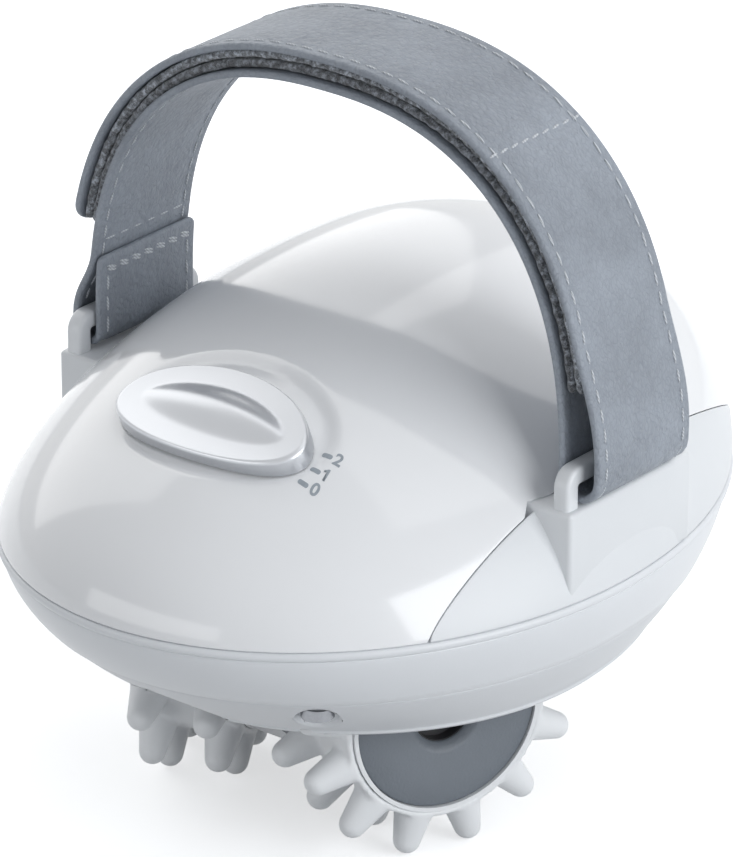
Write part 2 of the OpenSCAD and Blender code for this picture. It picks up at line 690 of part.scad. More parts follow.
// Soft tyre: a sleeve with two rows of rounded nubs, two of them straddling the bottom
module nub() {
    len = tip_r - nub_tip_r;
    translate([0, 0, core_r + 0.5]) cylinder(h = len - core_r - 0.5, r1 = nub_foot_r, r2 = nub_tip_r * 1.02);
    translate([0, 0, len]) sphere(nub_tip_r * 1.02 - 0.02, $fn = 32);
}
module nub_tyre(flip) mirror_x(flip) at_roller() difference() {
    union() {
        translate([inner_t, 0, 0]) rotate([0, 90, 0])
            cylinder(h = face_r - 0.3 - inner_t, r = tyre_r, $fn = 96);
        for (row = [row_a, row_b], k = [0:nubs - 1])
            translate([face_r - row, 0, 0]) rotate([(2 * k + 1) * half_step + 180, 0, 0]) nub();
    }
    translate([inner_t - 1, 0, 0]) rotate([0, 90, 0]) cylinder(h = 40, r = core_r, $fn = 96);
}
module nub_tyre_right() color("ghostwhite") nub_tyre(false);
module nub_tyre_left() color("ghostwhite") nub_tyre(true);

// Grey end disc with a dished hole round the axle's end
module end_disc(flip) mirror_x(flip) at_roller() translate([disc_t0, 0, 0]) rotate([0, 90, 0]) rotate_extrude($fn = 96)
    polygon([[dish_r, 0], [disc_r, 0], [disc_r, disc_t - 0.3], [disc_r - 0.3, disc_t],
        [dish_r + 1.4, disc_t], [dish_r + 0.4, disc_t - 0.5], [dish_r, disc_t - 1.2]]);
module end_disc_right() color("slategray") end_disc(false);
module end_disc_left() color("slategray") end_disc(true);

// Spring clip in the axle's groove, with three ears
module axle_clip(flip) mirror_x(flip) at_roller() translate([clip_t - 0.3, 0, 0]) rotate([0, 90, 0])
    linear_extrude(0.6) difference() {
        union() {
            circle(3.4);
            for (a = [35, 155, 275]) rotate(a) translate([3.4, 0]) circle(1);
        }
        circle(axle_r - 0.45);
        translate([0, -1.1]) square([8, 2.2]);
    }
module axle_clip_right() color("silver") axle_clip(false);
module axle_clip_left() color("silver") axle_clip(true);

// Switch: the knob outside, its stem through the slot, the carriage and the switch inside
stem_w = slot_w - 2 * stem_play;
stem_l = 4.2;
module switch_knob() color("lightgray") {
    difference() {
        union() {
            intersection() {
                at_slot(-knob_travel / 2) translate([0, 0, -12]) oval(knob_w / 2, knob_d / 2, 24);
                dome(ridge_h - knob_rise);
            }
            intersection() {
                at_slot(-knob_travel / 2) translate([0, 0, -12]) oval(ridge_l / 2, knob_d / 5, 24);
                dome(-knob_rise);
            }
        }
        dome(0);
    }
    at_slot(-knob_travel / 2) translate([-stem_w / 2, -stem_d / 2, -stem_l])
        cube([stem_w, stem_d, stem_l + 1]);
}
carriage_t = 1.5;
pin_d = 2.4;
sw_top = -stem_l - carriage_t - 0.3;
sw_h = 3;
sw_w = 11;
sw_l = knob_travel + pin_d + 3;
board_t = 1.6;
board_w = 30;
board_l = 18;
module switch_carriage() color("dimgray") at_slot(-knob_travel / 2) {
    translate([-7, -stem_d / 2 - 1, -stem_l - carriage_t]) cube([14, stem_d + 2, carriage_t]);
    translate([-pin_d / 2, -pin_d / 2, sw_top - 1.8]) cube([pin_d, pin_d, 2.2]);
}
module slide_switch() color("darkslategray") at_slot() difference() {
    translate([-sw_w / 2, -sw_l / 2, sw_top - sw_h]) cube([sw_w, sw_l, sw_h]);
    translate([-pin_d / 2 - 0.3, -(knob_travel + pin_d) / 2 - 0.3, sw_top - 2.2])
        cube([pin_d + 0.6, knob_travel + pin_d + 0.6, 3]);
}
module circuit_board() color("seagreen") at_slot()
    translate([-board_w / 2, sw_l / 2 - 2.8 - board_l, sw_top - sw_h - board_t]) cube([board_w, board_l, board_t]);

// Power inlet in the rear of the tray
inlet_z = seam_z - inlet_drop;
inlet_face = lower_ring((inlet_drop + inlet_box / 2) / lower_h, wall)[3] - 0.6;
inlet_end = lower_ring(inlet_drop / lower_h)[3] - 0.4;
module inlet_hole() {
    translate([0, inlet_face - 1, inlet_z]) rotate([-90, 0, 0]) cylinder(h = 30, r = inlet_r + 0.9);
}
module dc_inlet() color("black") difference() {
    union() {
        translate([-inlet_box / 2, inlet_face - inlet_l, inlet_z - inlet_box / 2])
            cube([inlet_box, inlet_l, inlet_box]);
        translate([0, inlet_face - 1, inlet_z]) rotate([-90, 0, 0])
            cylinder(h = inlet_end - inlet_face + 1, r = inlet_r + 0.8);
    }
    translate([0, inlet_end - 10, inlet_z]) rotate([-90, 0, 0]) difference() {
        cylinder(h = 20, r = inlet_r);
        cylinder(h = 9, r = 1);
    }
}

// Strap in side view: one band from its stitched tail round the left loop, over the hand,
// round the right loop and back over the top, with hook and loop strips between its layers
bar_z = boss_h + loop_h - loop_t / 2;
hand_r = loop_x - loop_t / 2 - strap_t - fold_gap;
hand_l = hand_r + strap_t + 0.1;
stack_t = 2 * strap_t + 2 * pile_t;
hand_b = strap_top - stack_t - bar_z;
fullness = 2.4;
function arch_pt(t, off) = let (
    a = cos(t) > 0 ? hand_r : hand_l,
    c = pow(abs(cos(t)), 2 / fullness), s = pow(abs(sin(t)), 2 / fullness),
    gx = sign(cos(t)) * pow(c, fullness - 1) / a, gz = pow(s, fullness - 1) / hand_b,
    g = norm([gx, gz]))
    [sign(cos(t)) * a * c + off * gx / g, bar_z + hand_b * s + off * gz / g];
// Angle at which the arch is at a height
function t_at(h) = asin(pow((h - bar_z) / hand_b, fullness / 2));
function curve(p, n = 10) = [for (i = [0:n]) let (t = i / n, u = 1 - t)
    u * u * u * p[0] + 3 * u * u * t * p[1] + 3 * u * t * t * p[2] + t * t * t * p[3]];
function bend(x0, x1, n = 12) = let (c = (x0 + x1) / 2, r = (x1 - x0) / 2,
    z = boss_h + fold_gap + abs(r) + strap_t / 2)
    [for (i = [0:n]) [c - r * cos(180 * i / n), z - abs(r) * sin(180 * i / n)]];
half_t = strap_t / 2;
left_in = -(hand_l - 0.1 - half_t);
left_out = -(loop_x + loop_t / 2 + fold_gap + half_t);
right_in = hand_r + half_t;
right_out = boss_half + fold_out - half_t;
function arc(t0, t1, off, n) = [for (i = [0:n]) arch_pt(t0 + (t1 - t0) * i / n, off)];
part_h = 33.5;
join_h = 42;
left_leg = let (b = bend(left_in, left_out), p = b[len(b) - 1], q = arch_pt(180 - t_at(part_h), half_t))
    curve([p + [0, 2], p + [0, 7], q - [0.6, 5], q]);
right_leg = let (b = bend(right_in, right_out), p = b[len(b) - 1],
    q = arch_pt(t_at(join_h), stack_t - half_t))
    curve([p + [0, 1], p + [0.5, 9], q - [-2.2, 7], q]);
strap_path = concat(
    arc(180 - t_at(tail_h), 180 - t_at(bar_z + 0.3), -0.1 - half_t, 6),
    bend(left_in, left_out), left_leg,
    arc(180 - t_at(part_h) - 1, t_at(bar_z + 0.5), half_t, 30),
    bend(right_in, right_out), right_leg,
    arc(t_at(join_h) + 1, 180 - t_at(free_h), stack_t - half_t, 30));
// A flat strip of the given thickness along a path
function side_of(path, d) = [for (i = [0:len(path) - 1]) let (
    v = path[min(i + 1, len(path) - 1)] - path[max(i - 1, 0)], g = norm(v))
    path[i] + d * [v[1], -v[0]] / g];
module strip(path, t, w) {
    n = len(path);
    back = side_of(path, -t / 2);
    translate([0, strap_y + w / 2, seam_z]) rotate([90, 0, 0]) linear_extrude(w)
        polygon(concat(side_of(path, t / 2), [for (i = [n - 1:-1:0]) back[i]]));
}
pile_fit = 0.24;
pile_w = strap_w - 2 * pile_in;
module strap_band() color("slategray") strip(strap_path, strap_t, strap_w);
module pile_strip(layer) {
    strip(arc(t_at(pile_low), 180 - t_at(free_h + 1), strap_t + (layer + 0.5) * pile_t, 30),
        pile_t - pile_fit, pile_w);
}
module hook_strip() color("dimgray") pile_strip(0);
module loop_strip() color("gray") pile_strip(1);

hood();
side_panel_right();
side_panel_left();
lower_tray();
base_ring();
floor_plate();
wheel_arch_right();
wheel_arch_left();
case_screws();
gear_housing_right();
gear_housing_left();
housing_screws();
motor_can();
motor_end_cap();
motor_terminals();
motor_shaft();
worm();
worm_wheel();
cross_shaft();
drive_pins();
axle_right();
axle_left();
bush_right();
bush_left();
wheel_core_right();
wheel_core_left();
nub_tyre_right();
nub_tyre_left();
end_disc_right();
end_disc_left();
axle_clip_right();
axle_clip_left();
switch_knob();
switch_carriage();
slide_switch();
circuit_board();
dc_inlet();
strap_loop_right();
strap_loop_left();
strap_band();
hook_strip();
loop_strip();
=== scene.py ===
import json
from math import asin, cos, exp, hypot, pi, radians, sin, sqrt

import bmesh
import bpy
from bpy.types import Operator
from mathutils import Matrix, Vector, noise


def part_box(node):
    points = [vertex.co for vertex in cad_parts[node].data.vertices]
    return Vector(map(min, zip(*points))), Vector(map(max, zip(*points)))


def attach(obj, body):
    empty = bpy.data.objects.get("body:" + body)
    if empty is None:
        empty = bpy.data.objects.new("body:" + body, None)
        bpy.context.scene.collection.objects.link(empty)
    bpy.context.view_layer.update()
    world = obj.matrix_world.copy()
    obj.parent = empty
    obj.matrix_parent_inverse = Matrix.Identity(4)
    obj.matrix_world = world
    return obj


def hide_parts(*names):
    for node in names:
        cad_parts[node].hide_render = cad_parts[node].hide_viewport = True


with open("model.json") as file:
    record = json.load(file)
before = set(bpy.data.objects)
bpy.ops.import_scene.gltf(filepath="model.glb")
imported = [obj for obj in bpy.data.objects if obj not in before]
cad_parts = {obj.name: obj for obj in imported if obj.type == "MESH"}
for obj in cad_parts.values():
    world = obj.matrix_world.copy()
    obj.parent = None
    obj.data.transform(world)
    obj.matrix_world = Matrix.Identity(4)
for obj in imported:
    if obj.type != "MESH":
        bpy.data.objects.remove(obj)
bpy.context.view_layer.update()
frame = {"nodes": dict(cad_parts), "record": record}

bl_info = {
    "name": "Palm Massager Finish",
    "version": (1, 0, 0),
    "blender": (4, 5, 0),
    "location": "3D View > Sidebar > Massager",
    "description": "Finished surfaces, strap, switch and rollers of a hand-held body massager",
    "category": "Object",
}

MM = 0.001
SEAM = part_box("lower_tray")[1].z / MM
DOME_H, LOWER_H, BOSS_H = 40.3, 23.6, 15.8
# half width, half length, and how far behind the middle the waist and the crown lie
HALF_W, HALF_L, WAIST_Y, CROWN_Y = 55.8, 70, -4, 25
STRAP_W = 25
SIDES = ((1, "right"), (-1, "left"))
AXLE_Z = SEAM - 26.2
TILT = radians(23.244)
TOE = radians(23.5)
STRAP_Y = -0.8


# Settings

def colour(name, text, value):
    return bpy.props.FloatVectorProperty(
        name=name, description=text, subtype="COLOR", size=3, min=0, max=1, default=value)


def length(name, text, value):
    return bpy.props.FloatProperty(
        name=name, description=text, unit="LENGTH", subtype="DISTANCE",
        min=0, precision=5, default=value * MM)


class MassagerShellSettings(bpy.types.PropertyGroup):
    hood_colour: colour("Hood", "Colour of the glossy hood", (0.875, 0.885, 0.90))
    panel_colour: colour("Side panels", "Colour of the satin side panels", (0.76, 0.78, 0.80))
    tray_colour: colour("Tray", "Colour of the tray and the base", (0.77, 0.79, 0.815))
    edge_soft: length("Soft edge", "Rounding along the moulded edges", 0.25)
    seat_depth: length("Seat depth", "Depth of the seat round the switch", 0.6)
    mark_colour: colour("Marks", "Colour of the printed switch marks", (0.33, 0.37, 0.41))


class MassagerStrapSettings(bpy.types.PropertyGroup):
    leather_colour: colour("Leather", "Colour of the imitation leather", (0.30, 0.33, 0.375))
    thread_colour: colour("Thread", "Colour of the stitching", (0.62, 0.65, 0.69))
    stitch_pitch: length("Stitch pitch", "Distance from stitch to stitch", 3.3)
    stitch_inset: length("Stitch inset", "Distance of the stitching from the strap's edge", 2.1)


class MassagerRollerSettings(bpy.types.PropertyGroup):
    nub_colour: colour("Nubs", "Colour of the soft tyres", (0.85, 0.865, 0.88))
    disc_colour: colour("End disc", "Colour of the end discs", (0.155, 0.175, 0.20))
    knob_colour: colour("Knob", "Colour of the switch knob's silver lacquer", (0.50, 0.515, 0.54))
    nub_blend: length("Nub fillet", "Cell size that rounds the nubs into the tyre", 0.42)


# Finishes

def feed(tree, node, sockets):
    """Gives each named or numbered socket its value, or a link from another node's output."""
    for key, value in sockets.items():
        if isinstance(value, bpy.types.NodeSocket):
            tree.links.new(value, node.inputs[key])
        else:
            node.inputs[key].default_value = value


def add_node(tree, kind, sockets, **settings):
    """The outputs of a new node, which gets its settings before its sockets."""
    node = tree.nodes.new("ShaderNode" + kind)
    for key, value in settings.items():
        setattr(node, key, value)
    feed(tree, node, sockets)
    return node.outputs


def new_material(name):
    """A new material with its tree, its shader and the object's own coordinates."""
    mat = bpy.data.materials.new(name)
    mat.use_nodes = True
    tree = mat.node_tree
    return mat, tree, tree.nodes["Principled BSDF"], add_node(tree, "TexCoord", {})["Object"]


def cloud(tree, coord, scale, detail=3.0, rough=0.55):
    return add_node(tree, "TexNoise", {
        "Vector": coord, "Scale": scale, "Detail": detail, "Roughness": rough})["Fac"]


def blend_colours(tree, fac, stops):
    ramp = tree.nodes.new("ShaderNodeValToRGB")
    ramp.color_ramp.elements[0].position = stops[0][0]
    ramp.color_ramp.elements[1].position = stops[-1][0]
    for place, _ in stops[1:-1]:
        ramp.color_ramp.elements.new(place)
    for element, (_, rgb) in zip(ramp.color_ramp.elements, stops):
        element.color = (*rgb, 1)
    feed(tree, ramp, {"Fac": fac})
    return ramp.outputs["Color"]


def spread_value(tree, fac, low, high):
    return add_node(tree, "MapRange", {"Value": fac, "To Min": low, "To Max": high})["Result"]


def relief(tree, height, depth, strength=1.0, under=None):
    sockets = {"Height": height, "Distance": depth, "Strength": strength}
    if under:
        sockets["Normal"] = under
    return add_node(tree, "Bump", sockets)["Normal"]


def shade(rgb, factor):
    return tuple(min(1.0, c * factor) for c in rgb)


def moulded(name, rgb, rough, swing=0.05, grain=0.0, grain_scale=2600, mottle=0.02,
            waves=0.0, metallic=0.0, coat=0.0):
    """Moulded plastic or metal: faint clouding, uneven sheen and a fine surface grain."""
    mat, tree, shader, coord = new_material(name)
    patches = cloud(tree, coord, 55)
    sockets = {
        "Metallic": metallic, "Coat Weight": coat, "Coat Roughness": 0.06,
        "Base Color": blend_colours(tree, patches, [
            (0.35, shade(rgb, 1 - mottle)), (0.65, shade(rgb, 1 + mottle))]),
        "Roughness": spread_value(tree, patches, rough - swing, rough + swing)}
    normal = None
    if waves:
        normal = relief(tree, cloud(tree, coord, 28, 1.0), waves)
    if grain:
        normal = relief(tree, cloud(tree, coord, grain_scale, 2.0), grain, 1.0, normal)
    if normal:
        sockets["Normal"] = normal
    feed(tree, shader, sockets)
    return mat


def brushed(name, rgb, rough, along=(1, 14, 14)):
    """Turned or drawn metal with fine lines."""
    mat, tree, shader, coord = new_material(name)
    place = add_node(tree, "Mapping", {"Scale": along, "Vector": coord})["Vector"]
    lines = cloud(tree, place, 420, 4.0)
    feed(tree, shader, {
        "Metallic": 1,
        "Base Color": blend_colours(tree, lines, [(0.3, shade(rgb, 0.86)), (0.7, rgb)]),
        "Roughness": spread_value(tree, lines, rough - 0.06, rough + 0.08),
        "Normal": relief(tree, lines, 0.00002, 0.6)})
    return mat


def leather(name, rgb):
    """Imitation leather: pebbled grain, fine wrinkles with painted shade in their grooves, and soft creases.
    """
    mat, tree, shader, coord = new_material(name)
    wander = add_node(tree, "TexNoise", {"Scale": 240, "Vector": coord})["Color"]
    warped = add_node(tree, "VectorMath", {0: wander, 1: (0.0022, 0.0022, 0.0022), 2: coord},
                      operation="MULTIPLY_ADD")["Vector"]
    pebble = add_node(tree, "TexVoronoi", {"Scale": 900, "Smoothness": 0.5, "Vector": warped},
                      feature="SMOOTH_F1")["Distance"]
    # wrinkles run across the pull of the strap: cells drawn out along it
    drawn = add_node(tree, "Mapping", {
        "Scale": (1.0, 2.1, 1.0), "Rotation": (0.5, 0.2, 0.3), "Vector": warped})["Vector"]
    cells = add_node(tree, "TexVoronoi", {"Scale": 800, "Vector": drawn},
                     feature="DISTANCE_TO_EDGE")["Distance"]
    wrinkle = add_node(tree, "MapRange", {"From Max": 0.16, "Value": cells},
                       interpolation_type="SMOOTHSTEP")["Result"]
    fine = cloud(tree, coord, 3000, 2.0)
    crease = cloud(tree, coord, 130, 4.0, 0.65)
    tone = cloud(tree, coord, 70, 6.0, 0.65)
    ground = blend_colours(tree, tone, [(0.3, shade(rgb, 0.84)), (0.5, rgb), (0.7, shade(rgb, 1.14))])
    # painted shade: the colour darkens to 0.91 in the grooves of the wrinkles
    painted_groove_shade = blend_colours(tree, wrinkle, [(0.0, (0.91, 0.91, 0.915)), (1.0, (1.0, 1.0, 1.0))])
    mixed = add_node(tree, "Mix", {"Factor": 1.0, "A": ground, "B": painted_groove_shade},
                     data_type="RGBA", blend_type="MULTIPLY")["Result"]
    normal = relief(tree, crease, 0.0006, 0.9)
    normal = relief(tree, wrinkle, 0.00005, 0.9, normal)
    normal = relief(tree, pebble, 0.00022, 0.9, normal)
    feed(tree, shader, {
        "Specular IOR Level": 0.42, "Base Color": mixed,
        "Roughness": spread_value(tree, pebble, 0.40, 0.62),
        "Normal": relief(tree, fine, 0.00005, 0.6, normal)})
    return mat


def touch_pile(name, rgb, coarse):
    """Touch fastener: a dark ground with lighter hairs standing out of it."""
    mat, tree, shader, coord = new_material(name)
    hairs = cloud(tree, coord, coarse, 5.0, 0.75)
    feed(tree, shader, {
        "Sheen Weight": 0.5, "Roughness": 0.9,
        "Base Color": blend_colours(tree, hairs, [
            (0.40, shade(rgb, 0.30)), (0.50, rgb), (0.60, shade(rgb, 2.6))]),
        "Normal": relief(tree, hairs, 0.0009)})
    return mat


def thread(name, rgb):
    """Twisted sewing thread."""
    mat, tree, shader, coord = new_material(name)
    twist = add_node(tree, "TexWave", {"Scale": 950, "Distortion": 1.5, "Vector": coord},
                     bands_direction="DIAGONAL")["Fac"]
    feed(tree, shader, {
        "Sheen Weight": 0.3, "Roughness": 0.6,
        "Base Color": blend_colours(tree, twist, [(0.2, shade(rgb, 0.72)), (0.7, rgb)]),
        "Normal": relief(tree, twist, 0.0001, 0.6)})
    return mat


def ink(name, rgb):
    mat, tree, shader, coord = new_material(name)
    speck = cloud(tree, coord, 1400, 3.0)
    feed(tree, shader, {
        "Base Color": blend_colours(tree, speck, [(0.35, shade(rgb, 0.93)), (0.6, shade(rgb, 1.05))]),
        "Roughness": spread_value(tree, speck, 0.3, 0.42)})
    return mat


def circuit_finish(name, rgb):
    """Lacquered board with lighter copper runs under the lacquer."""
    mat, tree, shader, coord = new_material(name)
    runs = add_node(tree, "TexBrick", {
        "Scale": 260, "Mortar Size": 0.03, "Color1": (*rgb, 1), "Color2": (*shade(rgb, 0.9), 1),
        "Mortar": (*shade(rgb, 1.7), 1), "Vector": coord})
    feed(tree, shader, {
        "Roughness": 0.35, "Base Color": runs["Color"],
        "Normal": relief(tree, runs["Fac"], 0.00005, 0.5)})
    return mat


FINISHES = {}


def finish(slot):
    """The finish of a material slot of the record, made once."""
    if slot in FINISHES:
        return FINISHES[slot]
    scene = bpy.context.scene
    shell, strap, rollers = scene.massager_shell, scene.massager_strap, scene.massager_rollers
    makers = {
        "hood": (moulded, "Hood gloss white", shell.hood_colour, 0.13, 0.03,
                 dict(mottle=0.006, waves=0.00004, coat=0.35)),
        "panel": (moulded, "Panel satin white", shell.panel_colour, 0.40, 0.04,
                  dict(grain=0.000012, mottle=0.01)),
        "tray": (moulded, "Tray satin white", shell.tray_colour, 0.36, 0.04,
                 dict(grain=0.000012, mottle=0.01)),
        # the base ring takes the tray's colour darkened to 0.91: painted shade on the ring that faces down
        "base": (moulded, "Base satin white", shade(shell.tray_colour, 0.91), 0.42, 0.04,
                 dict(grain=0.000015, mottle=0.012)),
        "inner": (moulded, "Inner moulding", (0.62, 0.63, 0.65), 0.5, dict(grain=0.00002)),
        "loop": (moulded, "Loop white", shade(shell.panel_colour, 1.03), 0.30, 0.04,
                 dict(grain=0.000008, mottle=0.01)),
        "nubs": (moulded, "Soft tyre", rollers.nub_colour, 0.45, 0.05,
                 dict(grain=0.00001, mottle=0.012)),
        "core": (moulded, "Wheel core", shade(rollers.nub_colour, 0.98), 0.38, dict(grain=0.00001)),
        "disc": (moulded, "End disc grained grey", rollers.disc_colour, 0.5, 0.05,
                 dict(grain=0.00009, grain_scale=1900, mottle=0.05)),
        "knob": (moulded, "Knob silver lacquer", rollers.knob_colour, 0.36, 0.03,
                 dict(grain=0.000006, grain_scale=5200, mottle=0.015, metallic=0.85, coat=0.3)),
        "strap": (leather, "Strap imitation leather", strap.leather_colour, {}),
        "hook": (touch_pile, "Hook pile", (0.20, 0.215, 0.24), 1150, {}),
        "pile": (touch_pile, "Loop pile", (0.27, 0.29, 0.32), 850, {}),
        "steel": (brushed, "Bright steel", (0.40, 0.41, 0.43), 0.34, {}),
        "screw": (brushed, "Dark plated steel", (0.30, 0.31, 0.33), 0.38, {}),
        "brass": (brushed, "Turned brass", (0.78, 0.60, 0.32), 0.30, {}),
        "bronze": (brushed, "Sintered bronze", (0.60, 0.42, 0.25), 0.45, (6, 6, 6), {}),
        "acetal": (moulded, "Natural acetal", (0.80, 0.78, 0.70), 0.36, dict(grain=0.00001)),
        "housing": (moulded, "Gear housing grey", (0.52, 0.53, 0.55), 0.45, dict(grain=0.00003)),
        "dark": (moulded, "Black moulding", (0.02, 0.02, 0.023), 0.42, dict(grain=0.00002)),
        "board": (circuit_finish, "Circuit board", (0.03, 0.17, 0.07), {}),
        "thread": (thread, "Light thread", strap.thread_colour, {}),
        "mark": (ink, "Printed marks", shell.mark_colour, {}),
    }
    maker, *values, named = makers[slot]
    FINISHES[slot] = maker(*values, **named)
    return FINISHES[slot]


# Shapes

def face_out(bm):
    bmesh.ops.recalc_face_normals(bm, faces=bm.faces)


def outward(bm, inside):
    """Turns the faces of a shell so that they look away from a point inside it."""
    face_out(bm)
    inside = Vector(inside)
    lean = sum(f.normal.dot(f.calc_center_median() - inside) * f.calc_area() for f in bm.faces)
    if lean < 0:
        bmesh.ops.reverse_faces(bm, faces=bm.faces)


def skin(rule, us, vs, inside):
    """A grid laid over the points that a rule gives for two lists of values, in millimetres."""
    bm = bmesh.new()
    n, m = len(us) - 1, len(vs) - 1
    bmesh.ops.create_grid(bm, x_segments=n, y_segments=m, size=1)
    low = min(v.co.x for v in bm.verts)
    span = max(v.co.x for v in bm.verts) - low
    for v in bm.verts:
        i = round((v.co.x - low) / span * n)
        j = round((v.co.y - low) / span * m)
        v.co = rule(us[i], vs[j])
    bmesh.ops.remove_doubles(bm, verts=bm.verts, dist=1e-4)
    bmesh.ops.dissolve_degenerate(bm, edges=bm.edges, dist=1e-4)
    outward(bm, inside)
    return bm


def steps(*runs):
    """Values in runs of (start, end, count), joined without repeating their ends."""
    values = []
    for start, end, count in runs:
        values += [start + (end - start) * k / count for k in range(count)]
    return values + [runs[-1][1]]


def meshed(name, bm):
    mesh = bpy.data.meshes.new(name)
    bm.to_mesh(mesh)
    bm.free()
    return mesh


def linked(name, data):
    obj = bpy.data.objects.new(name, data)
    bpy.context.scene.collection.objects.link(obj)
    return obj


def piece(name, bm, slot, body, replaces=(), sharp=42):
    """Makes an object of a mesh in millimetres, gives it its finish and lets it ride on a body."""
    bmesh.ops.scale(bm, vec=(MM, MM, MM), verts=bm.verts)
    obj = linked(name, meshed(name, bm))
    dress(obj, slot, sharp)
    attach(obj, body)
    if replaces:
        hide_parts(*replaces)
    return obj


def dress(obj, slot, sharp=42):
    obj.data.materials.clear()
    obj.data.materials.append(finish(slot))
    obj.data.shade_smooth()
    obj.data.set_sharp_from_angle(angle=radians(sharp))


def bake(obj, slot, sharp=42):
    """Turns the modifiers of a piece into its mesh."""
    graph = bpy.context.evaluated_depsgraph_get()
    mesh = bpy.data.meshes.new_from_object(obj.evaluated_get(graph))
    obj.modifiers.clear()
    obj.data = mesh
    dress(obj, slot, sharp)


def cut(obj, cutters):
    """Cuts shapes, given as meshes in millimetres, out of a piece."""
    made = []
    for k, bm in enumerate(cutters):
        bmesh.ops.scale(bm, vec=(MM, MM, MM), verts=bm.verts)
        face_out(bm)
        tool = linked("cutter", meshed("cutter", bm))
        made.append(tool)
        mod = obj.modifiers.new(f"Cut {k + 1}", "BOOLEAN")
        mod.operation, mod.solver, mod.object = "DIFFERENCE", "EXACT", tool
    return made


def soften(obj, width, angle, segments=2):
    """Rounds the edges of a piece that are sharper than an angle."""
    soft = obj.modifiers.new("Soft edges", "BEVEL")
    soft.width, soft.segments, soft.limit_method = width, segments, "ANGLE"
    soft.angle_limit, soft.use_clamp_overlap = radians(angle), False


def thicken(obj, even=False):
    """Gives a skin its wall, inwards."""
    wall = obj.modifiers.new("Wall", "SOLIDIFY")
    wall.thickness, wall.offset, wall.use_even_offset = 2 * MM, -1, even


def discard(tools):
    for tool in tools:
        bpy.data.objects.remove(tool)


def rod(radius, depth, matrix, sides=64):
    bm = bmesh.new()
    bmesh.ops.create_cone(bm, cap_ends=True, segments=sides, radius1=radius, radius2=radius,
                          depth=depth, matrix=matrix)
    return bm


def block(low, high, radius, levels=3):
    """A rounded block between two corners."""
    bm = bmesh.new()
    low, high = Vector(low), Vector(high)
    size = high - low
    bmesh.ops.create_cube(bm, size=1, matrix=Matrix.Translation((low + high) / 2)
                          @ Matrix.Diagonal((*size, 1)))
    bmesh.ops.bevel(bm, geom=bm.edges[:], offset=radius, segments=levels, profile=0.5,
                    affect="EDGES", material=-1)
    face_out(bm)
    return bm


def lathe(profile, sides, matrix):
    """A closed turned shape from a closed profile of (radius, height)."""
    bm = bmesh.new()
    verts = [bm.verts.new((r, 0, h)) for r, h in profile]
    edges = [bm.edges.new((verts[k], verts[(k + 1) % len(verts)])) for k in range(len(verts))]
    bmesh.ops.spin(bm, geom=verts + edges, cent=(0, 0, 0), axis=(0, 0, 1), dvec=(0, 0, 0),
                   angle=2 * pi, steps=sides, use_merge=True, use_duplicate=False)
    bmesh.ops.remove_doubles(bm, verts=bm.verts, dist=1e-4)
    bmesh.ops.transform(bm, matrix=matrix, verts=bm.verts)
    face_out(bm)
    return bm


def merged(bm, other):
    """Adds a second mesh to a first one."""
    mesh = meshed("join", other)
    bm.from_mesh(mesh)
    bpy.data.meshes.remove(mesh)
    return bm


def mirrored(bm):
    bmesh.ops.scale(bm, vec=(-1, 1, 1), verts=bm.verts)
    bmesh.ops.reverse_faces(bm, faces=bm.faces)
    return bm


def roller_frame(side=1):
    """Place of a roller: its Z runs out along the axle from where the axles cross."""
    turn = Matrix.Rotation(-TOE, 4, "Z") @ Matrix.Rotation(pi / 2, 4, "Y")
    place = Matrix.Translation((0, -5.8, AXLE_Z)) @ turn
    return place if side > 0 else Matrix.Diagonal((-1, 1, 1, 1)) @ place


# Shell outline

def dome_ring(u, inset=0.0):
    """Half width, nose, rear and waist of the dome at a share of its height."""
    side = max(0.0, 1 - u ** 1.62) ** (1 / 2.08)
    nose = max(0.0, 1 - u ** 1.72) ** (1 / 1.81)
    rear = max(0.0, 1 - u ** 2.2) ** (1 / 1.9)
    return ((HALF_W - inset) * side, CROWN_Y - (HALF_L + CROWN_Y - inset) * nose,
            CROWN_Y + (HALF_L - CROWN_Y - inset) * rear, WAIST_Y + (CROWN_Y - WAIST_Y) * u)


def lower_ring(w, inset=0.0):
    """The same below the seam, at a share of the depth to the bottom rim."""
    w0 = max(w, 0.0)
    return (HALF_W - 11.2 * w0 ** 1.95 - inset, -(HALF_L - 21.83 * w0 ** 1.8) + inset,
            HALF_L - 16.28 * w0 ** 1.15 - inset, WAIST_Y / (1 + w0))


def on_ring(ring, t):
    half, nose, rear, waist = ring
    s = sin(t)
    return half * cos(t), waist + ((waist - nose) if s < 0 else (rear - waist)) * s


def dome_point(u, t):
    x, y = on_ring(dome_ring(u), t)
    return Vector((x, y, SEAM + DOME_H * u))


def dome_height(x, y):
    """Height of the dome's outside over a point in plan."""
    low, high = 0.0, 1.0
    for _ in range(34):
        u = (low + high) / 2
        half, nose, rear, waist = dome_ring(u)
        reach = (waist - nose) if y < waist else (rear - waist)
        inside = half > 0 and reach > 0 and (x / half) ** 2 + ((y - waist) / reach) ** 2 <= 1
        low, high = (u, high) if inside else (low, u)
    return SEAM + DOME_H * low


def arch_height(y, gap=0.0):
    """Height above the seam of the line between the hood and a side panel."""
    t = (y - 8) / (50.5 - gap)
    return (18.2 - gap) * (1 - t * t) ** (1 / 1.36) if abs(t) < 1 else 0.0


def arch_share(t, gap=0.0):
    """Share of the dome's height at which the outline crosses that line."""
    def over(u):
        return DOME_H * u - arch_height(on_ring(dome_ring(u), t)[1], gap)
    if over(0) >= 0:
        return 0.0
    low, high = 0.0, 0.6
    for _ in range(40):
        middle = (low + high) / 2
        low, high = (middle, high) if over(middle) < 0 else (low, middle)
    return low


def rim_angle(y):
    """Angle on the seam's outline at a distance along the body, on the right side."""
    reach = HALF_L + WAIST_Y if y < WAIST_Y else HALF_L - WAIST_Y
    return asin((y - WAIST_Y) / reach)


